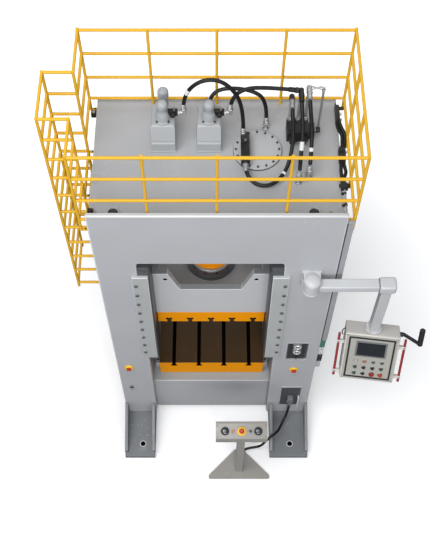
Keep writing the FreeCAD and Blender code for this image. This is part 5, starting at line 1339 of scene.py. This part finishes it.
def leg_controls():
    rings = Workpiece("leg_estop_rings", ON_FRONT)
    for side, x, z in LEG_ESTOPS:
        name = side + "_leg_"
        estop_ring(rings, (x, 0, z), FORWARD)
        mushroom(name + "mushroom", ON_FRONT, (x, 0, z), FORWARD, name + "estop_body", name + "estop")
    rings.close("frame", "estop_yellow", ["estop_rings"])

    work = Workpiece("leg_panels_dressed", ON_FRONT)
    low, high = PANEL - PANEL_HALF, PANEL + PANEL_HALF
    work.block((low.x, BOARD, low.z), (high.x, BOARD + 0.010, high.z), "panel_dark", 0.001)
    bar, inset = 0.008, 0.020
    work.border(low.x - bar, high.x + bar, low.z - bar, high.z + bar, bar, -0.004, 0.012,
                "frame_grey", 0.0015)
    work.block((low.x + inset, BOARD - 0.003, low.z + inset), (high.x - inset, BOARD, high.z - inset),
               "services_dark", 0.001)
    for rise in (0.100, -0.016):
        spot = PANEL + Vector((0, BOARD, rise))
        plate, half = spot + FORWARD * 0.006, Vector((0.042, 0, 0.042))
        work.block(plate - half, spot + half, "fitting_steel", 0.003)
        work.tube(plate, FORWARD, 0.038, 0.022, 0.020, "socket_silver", 32, 0.004)
        work.stub(spot, FORWARD, 0.012, 0.0221, "knob_black")
        for side, end in CORNERS:
            pin = plate + Vector((side, 0, end)) * 0.034
            work.stub(pin, FORWARD, 0.004, 0.005, "screw_steel", 10)

    low, high = SOCKET - SOCKET_HALF, SOCKET + SOCKET_HALF
    work.block((low.x, -0.008, low.z), (high.x, 0, high.z), "frame_grey")
    work.block((low.x + 0.012, -0.009, low.z + 0.016), (high.x - 0.012, -0.007, high.z - 0.016),
               "panel_dark", 0.0005)
    for side, end in CORNERS:
        pin = SOCKET + Vector((0.107 * side, -0.008, 0.239 * end))
        work.stub(pin, FORWARD, 0.002, 0.004, "screw_steel", 12)
    left, right = high.x - 0.034, high.x - 0.020
    work.block((left, -0.042, 0.320), (right, -0.028, 0.560), "unit_white", 0.004)
    for z in (0.320, 0.546):
        work.block((left, -0.036, z), (right, -0.008, z + 0.014), "unit_white", 0.003)

    # The lock: a steel boss, its keyway painted near-black as shade, black wings and a thin dark strip that
    # hangs below it.
    work.stub(LOCK, FORWARD, 0.014, 0.018, "collar_steel", 32, 0.003)
    work.block((-0.896, -0.0145, 0.790), (-0.892, -0.0135, 0.808), "recess_shade_dark", 0)
    work.block((-0.917, -0.020, 0.794), (-0.871, -0.013, 0.804), "knob_black")
    work.block((-0.897, -0.016, 0.735), (-0.891, -0.012, 0.792), "services_dark", 0.001)
    work.close("frame", "panel_dark", ["leg_panels"])

    knob = Workpiece("selector_knob", Matrix.Translation((PANEL.x, FRONT + BOARD, KNOB_HEIGHT)))
    knob.rod(REARWARD * 0.010, (0, 0, 0), 0.005, "collar_steel")
    knob.turned([(0.017, 0.001), (0.017, 0.010), (0.014, 0.014)], "knob_black", way=FORWARD)
    knob.block((-0.005, -0.028, -0.017), (0.005, -0.012, 0.017), "knob_black", 0.003)
    knob.block((-0.0008, -0.0285, 0.004), (0.0008, -0.0278, 0.015), "unit_white", 0)
    knob.close("panel_knob_body", "knob_black", ["panel_knob"])


# ---- pendant arm, from its pivot

WALL = 0.100
PIVOT = Vector((0.790, FRONT - WALL, 3.200))
AT_PIVOT = Matrix.Translation(PIVOT)
ARM_END = RIGHT * 0.630
ARM_HALF = Vector((0, 0.046, 0.038))
ELBOW = Vector((0.072, 0.060, 0.050))
DROP_HALF = Vector((0.044, 0.044, 0))
PIVOT_RADIUS = 0.072
PIVOT_HALF = 0.082
PLATE = 0.020


def arm_bracket():
    work = Workpiece("arm_bracket_dressed", AT_PIVOT)
    half = PIVOT_HALF
    work.block((-half, WALL - PLATE, -half), (half, WALL, half), "arm_grey", 0.005)
    for low in (-half, half - PLATE):
        work.block((0.001 - PIVOT_RADIUS, 0, low + 0.0005),
                   (PIVOT_RADIUS - 0.001, WALL - PLATE + 0.002, low + PLATE - 0.0005), "arm_grey", 0.003)
        work.stub((0, 0, low), UP, PLATE, PIVOT_RADIUS, "arm_grey", 64, 0.003)
    work.rod(UP * -half, UP * half, 0.025, "collar_steel", 32)
    work.turned([(0.070, half - 0.002), (0.070, half + 0.001)] + dome(0.068, half + 0.026, 0.025),
                "arm_grey", sides=56)
    work.close("frame", "arm_grey", ["arm_bracket"])
    spots = [PIVOT + Vector((0.076 * side, WALL - PLATE - 0.003, 0.060 * end)) for side, end in CORNERS]
    screws("bracket_bolts", spots, FORWARD, 0.005, 0.006, "frame", label="arm_grey")


def pendant_arm():
    work = Workpiece("swing_arm", AT_PIVOT)
    reach = PIVOT_HALF - 0.0205
    work.tube(UP * -reach, UP, PIVOT_RADIUS - 0.002, 0.0252, 2 * reach, "arm_grey", 64, 0.004)
    work.block(RIGHT * 0.060 - ARM_HALF, ARM_END + ARM_HALF, "arm_grey", 0.012, 4)
    low, high = ARM_END - ELBOW, ARM_END + ELBOW
    work.block(low, high, "arm_grey", 0.022, 4)
    seam = Vector((0.002, -0.012, -0.008))
    work.block((low.x - seam.x, low.y - seam.y, low.z - seam.z),
               (low.x + seam.x, high.y + seam.y, high.z + seam.z), "gasket_black", 0)
    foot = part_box("pendant_arm")[0].z - PIVOT.z
    work.block(ARM_END - DROP_HALF + UP * foot, ARM_END + DROP_HALF + UP * (low.z + 0.02),
               "arm_grey", 0.010, 3)
    work.close("arm", "arm_grey", ["pendant_arm"])


# ---- pendant, in its own tilted frame

PENDANT_TOP = Vector((PIVOT.x + ARM_END.x, PIVOT.y, 2.379))
SWIVEL_HEIGHT = 0.046
PENDANT = (Matrix.Translation(PENDANT_TOP) @ Matrix.Rotation(math.radians(-7), 4, "Z")
           @ Matrix.Rotation(math.radians(-28), 4, "X"))
FACE = -0.105
BOX_HALF = 0.245
BOX_HEIGHT = 0.515
COLUMNS = (-0.120, -0.040, 0.040, 0.120)
TOP_ROW = -0.297
ROW_PITCH = 0.069
BUTTON = 0.015
BUTTON_BACK = -0.0077
BAR_X = 0.298
BAR_Y = -0.060
BAR_HALF = 0.015
LEVER_X = 0.440
LEVER_Z = -0.027
HOOK = [(-0.243, 0.0, -0.022), (-0.264, -0.015, -0.020), (-0.278, -0.035, -0.040), (-0.266, -0.050, -0.064)]

# The buttons: name, column, row and finish. The wide ones lie in the second row and give a radius instead.
PUSHES = (
    ("jog_up", 0, 1, "button_green"),
    ("jog_down", 1, 1, "button_black"),
    ("hold", 2, 1, "button_black"),
    ("start", 3, 1, "button_green"),
    ("cycle", 0, 2, "button_green"),
    ("reset", 1, 2, "button_black"),
)
WIDE_PUSHES = (("stop", 2, 0.024, "mushroom_maroon"), ("release", 3, 0.019, "release_orange"))


def face_spot(column, row):
    return (COLUMNS[column], FACE, TOP_ROW - ROW_PITCH * row)


def pendant_box():
    work = Workpiece("pendant_case", PENDANT)
    work.block((-BOX_HALF, FACE, -BOX_HEIGHT), (BOX_HALF, -FACE, 0), "pendant_grey", 0.012, 4)
    for x in (-BOX_HALF, BOX_HALF):
        work.block((x - 0.002, 0.040, -BOX_HEIGHT + 0.030), (x + 0.002, 0.046, -0.030), "gasket_black", 0.001)
    inset = 0.012
    work.block((-BOX_HALF + inset, FACE - 0.0008, -BOX_HEIGHT + inset),
               (BOX_HALF - inset, FACE + 0.001, -inset), "pendant_face", 0)
    for x in (-0.228, 0.228):
        for z in (-0.018, -0.497):
            work.stub((x, FACE, z), FORWARD, 0.003, 0.006, "collar_steel", 16)
    work.close("pendant", "pendant_grey", ["pendant_box"])

    panel = Workpiece("pendant_panel_dressed", PENDANT)
    panel.border(-0.210, 0.210, -0.486, -0.032, 0.016, FACE - 0.005, FACE, "gasket_black", 0.002)
    panel.block((-0.141, FACE - 0.006, -0.242), (0.141, FACE, -0.072), "bezel_grey", 0.003)
    panel.block((-0.126, FACE - 0.0068, -0.228), (0.126, FACE - 0.005, -0.086), "screen_glass", 0.0005)
    panel.close("pendant", "gasket_black", ["pendant_panel"])


def push(name, profile, column, row, label, slot, sides):
    node = "pendant_" + name
    cap = Workpiece(node + "_cap", PENDANT)
    cap.turned([(BUTTON, BUTTON_BACK)] + profile, label, face_spot(column, row), FORWARD, sides)
    cap.close(node + "_body", slot, [node])


def pendant_controls():
    lamps = Workpiece("pendant_lamp_row", PENDANT)
    for column, label in enumerate(("lamp_white", "lamp_orange", "lamp_green", "lamp_green")):
        spot = face_spot(column, 0)
        lamps.turned([(0.018, 0), (0.018, 0.003), (BUTTON, 0.004)], "collar_steel", spot, FORWARD)
        lens = [(0.0135, 0.003), (0.0135, 0.006), (0.011, 0.009), (0, 0.0095)]
        lamps.turned(lens, label, spot, FORWARD)
    bore = BUTTON + 0.0002
    wide = [(name, column, 2, label) for name, column, radius, label in WIDE_PUSHES]
    for name, column, row, label in PUSHES + tuple(wide):
        collar = "mushroom_maroon" if name == "stop" else "collar_steel"
        outer = BUTTON + (0.008 if name in ("stop", "release") else 0.005)
        lamps.ring([(bore, 0), (outer, 0), (outer, 0.002), (outer - 0.002, 0.004), (bore, 0.004)],
                   collar, face_spot(column, row), FORWARD)
    lamps.close("pendant", "lamp_green", ["pendant_lamps"])
    for name, column, row, label in PUSHES:
        profile = [(BUTTON, 0.011), (BUTTON - 0.002, 0.013), (0.010, 0.0125), (0, 0.0118)]
        push(name, profile, column, row, label, label, 32)
    for name, column, radius, label in WIDE_PUSHES:
        profile = [(BUTTON, 0.009), (radius - 0.002, 0.009), (radius, 0.011), (radius, 0.0125),
                   (radius - 0.003, 0.016), (radius * 0.5, 0.0168), (0, 0.017)]
        push(name, profile, column, 2, label, "stop_red", 40)


def pendant_handles():
    work = Workpiece("red_grab_bars", PENDANT)
    for side in (-1, 1):
        x = BAR_X * side
        work.rod((x, BAR_Y, -0.035), (x, BAR_Y, -0.520), 0.012, "handle_red", 32, 0.005)
        near, far = sorted((BOX_HALF * side, (BAR_X + BAR_HALF) * side))
        front, back = BAR_Y - BAR_HALF, BAR_Y + BAR_HALF
        for z in (-0.127, -0.462):
            work.block((near, front, z - BAR_HALF), (far, back, z + BAR_HALF), "pendant_grey", 0.004)
            work.stub((x, front, z), FORWARD, 0.004, 0.006, "screw_steel", 12)
    for start, end in zip(HOOK, HOOK[1:]):
        work.rod(start, end, 0.005, "lever_black", 12, 0.002)
    work.close("pendant", "handle_red", ["handle_bars"])


def bent_lever():
    """The black lever: a hub at the box's side, a bent bar and an upright grip."""
    work = Workpiece("bent_lever", PENDANT)
    bore = Vector((BOX_HALF, 0, LEVER_Z))
    work.rod(bore - RIGHT * 0.011, bore + RIGHT * 0.002, 0.005, "collar_steel")
    work.rod(bore + RIGHT * 0.0003, (0.277, 0, LEVER_Z), 0.022, "lever_black", 32, 0.003)
    half = 0.013
    start, end = Vector((0.285, 0, LEVER_Z)), Vector((LEVER_X, 0, -0.115))
    slope = (end - start).to_track_quat("X", "Y").to_matrix().to_4x4()
    work.block((-0.012, -half, -half), ((end - start).length, half, half), "lever_black", 0.003,
               tilt=Matrix.Translation(start) @ slope)
    work.rod((LEVER_X, 0, -0.130), (LEVER_X, 0, 0.054), 0.025, "lever_black", 32, 0.008)
    for k in range(6):
        work.stub((LEVER_X, 0, -0.060 + 0.016 * k), UP, 0.008, 0.0258, "lever_black", 32)
    work.close("lever", "lever_black", ["pendant_lever"])


def swivel_flange():
    """The swivel under the drop tube: a bolted flange down to the tilted box, and its spigot."""
    top = PENDANT_TOP + UP * SWIVEL_HEIGHT
    work = Workpiece("swivel_flange", Matrix.Translation(top))
    work.turned([(0.030, 0), (0.030, 0.076), (0.027, 0.080)], "collar_steel", sides=40)
    work.turned([(0.070, -0.014), (0.072, -0.011), (0.072, -0.003), (0.069, 0)], "arm_grey", sides=56)
    work.turned([(0.058, -0.086), (0.058, -0.014)], "arm_grey", sides=48)
    work.place = PENDANT
    # A thin light rim round the flange's foot on the box: painted highlight.
    work.turned([(0.078, -0.001), (0.078, 0.004), (0.074, 0.007)], "highlight_grey", way=UP, sides=56)
    work.close("pendant", "arm_grey", ["pendant_flange"])
    spots = bolt_circle(top, 0.062, 6, 0.003)
    screws("swivel_bolts", spots, UP, 0.005, 0.005, "pendant", 10, label="arm_grey")


# ---- two-hand console, from its post

CONSOLE = Vector((0.248, -1.290, 0))
AT_CONSOLE = Matrix.Translation(CONSOLE)
BASE_FRONT = -0.118
BASE_REAR = 0.215
BASE_HALF = 0.330
POST_HALF = 0.040
HEAD_HALF = 0.255
HEAD_DEPTH = 0.0825
HEAD_LOW = 1.090
LIP = 0.105
SLOPE = 0.045
PANEL_RUN = 0.140
RIM = HEAD_LOW + LIP
PANEL_MIDDLE = CONSOLE + Vector((0, PANEL_RUN / 2 - HEAD_DEPTH, RIM + SLOPE / 2))
ON_PANEL = Matrix.Translation(PANEL_MIDDLE) @ Matrix.Rotation(math.atan(SLOPE / PANEL_RUN), 4, "X")
SIDEWAYS = Matrix(((0, 0, 1, 0), (1, 0, 0, 0), (0, 1, 0, 0), (0, 0, 0, 1)))
PALM_X = 0.164
PUSH_X = 0.088


def console_stand():
    work = Workpiece("console_pedestal", AT_CONSOLE)
    shoulder = BASE_FRONT + 0.040
    outline = [(-BASE_HALF, BASE_FRONT), (BASE_HALF, BASE_FRONT), (BASE_HALF, shoulder),
               (POST_HALF, BASE_REAR), (-POST_HALF, BASE_REAR), (-BASE_HALF, shoulder)]
    work.slab(outline, 0, 0.015, "console_grey", 0.030)
    work.block((-POST_HALF, -POST_HALF, 0.015), (POST_HALF, POST_HALF, HEAD_LOW), "console_grey", 0.006, 3)
    gland = Vector(CORD_ROUTE[-1]) - CONSOLE
    work.rod(gland - REARWARD * 0.002, gland + REARWARD * 0.014, 0.021, "knob_black", 6, 0.002)
    work.turned([(0.019, 0), (0.0155, 0.030)], "knob_black", gland + REARWARD * 0.012, REARWARD, 24)
    work.close("frame", "console_grey", ["console_stand"])


def console_head():
    """The folded head, its side profile drawn across, and the screws of its sloping panel."""
    work = Workpiece("console_case", AT_CONSOLE @ SIDEWAYS)
    top = RIM + SLOPE
    outline = [(-HEAD_DEPTH, HEAD_LOW), (HEAD_DEPTH, HEAD_LOW), (HEAD_DEPTH, top),
               (PANEL_RUN - HEAD_DEPTH, top), (-HEAD_DEPTH, RIM)]
    work.slab(outline, -HEAD_HALF, HEAD_HALF, "console_grey", 0.005, 3)
    work.place = ON_PANEL
    for side, end in CORNERS:
        work.stub(((HEAD_HALF - 0.018) * side, 0.055 * end, 0), UP, 0.003, 0.005, "screw_steel", 10)
    work.close("frame", "console_grey", ["console_head"])


def console_controls():
    rings = Workpiece("console_collars", ON_PANEL)
    bezel = [(0.0345, -0.001), (0.041, -0.001), (0.041, 0.006), (0.039, 0.011), (0.036, 0.012),
             (0.0345, 0.010)]
    for x in (-PALM_X, PALM_X):
        rings.ring(bezel, "knob_black", (x, 0, 0), sides=48)
    estop_ring(rings, (0, 0, 0))
    bezel = [(0.0152, 0), (0.021, 0), (0.021, 0.004), (0.018, 0.008), (0.0152, 0.008)]
    for x in (-PUSH_X, PUSH_X):
        rings.ring(bezel, "collar_steel", (x, 0, 0))
    rings.close("frame", "console_grey", ["console_head"])
    r = 0.034
    profile = [(r, 0.0063), (r, 0.022), (r - 0.002, 0.027), (r - 0.008, 0.031), (r * 0.4, 0.0325), (0, 0.033)]
    for side, x in (("left", -PALM_X), ("right", PALM_X)):
        palm = Workpiece(side + "_palm_cap", ON_PANEL)
        palm.turned(profile, "palm_steel", (x, 0, 0), sides=48)
        palm.close(side + "_palm_button_body", "palm_steel", [side + "_palm_button"])
    mushroom("console_mushroom", ON_PANEL, (0, 0, 0), None, "console_estop_body", "console_estop")
    cap = Workpiece("console_push_cap", ON_PANEL)
    profile = [(0.015, 0.0043), (0.015, 0.014), (0.013, 0.0163), (0, 0.0155)]
    cap.turned(profile, "button_black", (PUSH_X, 0, 0))
    cap.close("console_button_body", "button_black", ["console_button"])
    lens = Workpiece("console_lamp_lens", ON_PANEL)
    profile = [(0.015, 0), (0.015, 0.008), (0.012, 0.0115), (0, 0.0125)]
    lens.turned(profile, "lamp_orange", (-PUSH_X, 0, 0))
    lens.close("frame", "lamp_orange", ["console_lamp"])


# ---- assembly

mix_finishes()
place_camera()
studio()
welded_frame()
slotted_table("bolster", "frame", True, "oiled_steel")
slotted_table("slide_plate", "slide", False, "machined_steel")
for assemble in (
    clamp_bolts, anchor_holes, slide_tub, guides, hydraulic_cylinder, guard_rail, ladder_cage,
    pump_housings, tank_cover, valve_blocks, pipework, lifting_sockets, side_services, leg_controls,
    arm_bracket, pendant_arm, pendant_box, pendant_controls, pendant_handles, bent_lever, swivel_flange,
    console_stand, console_head, console_controls, control_cord, hoses,
):
    assemble()

boxes = {"cad": CAD_BOX, "visual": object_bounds()}
{name: [list(corner) for corner in box] for name, box in boxes.items()}
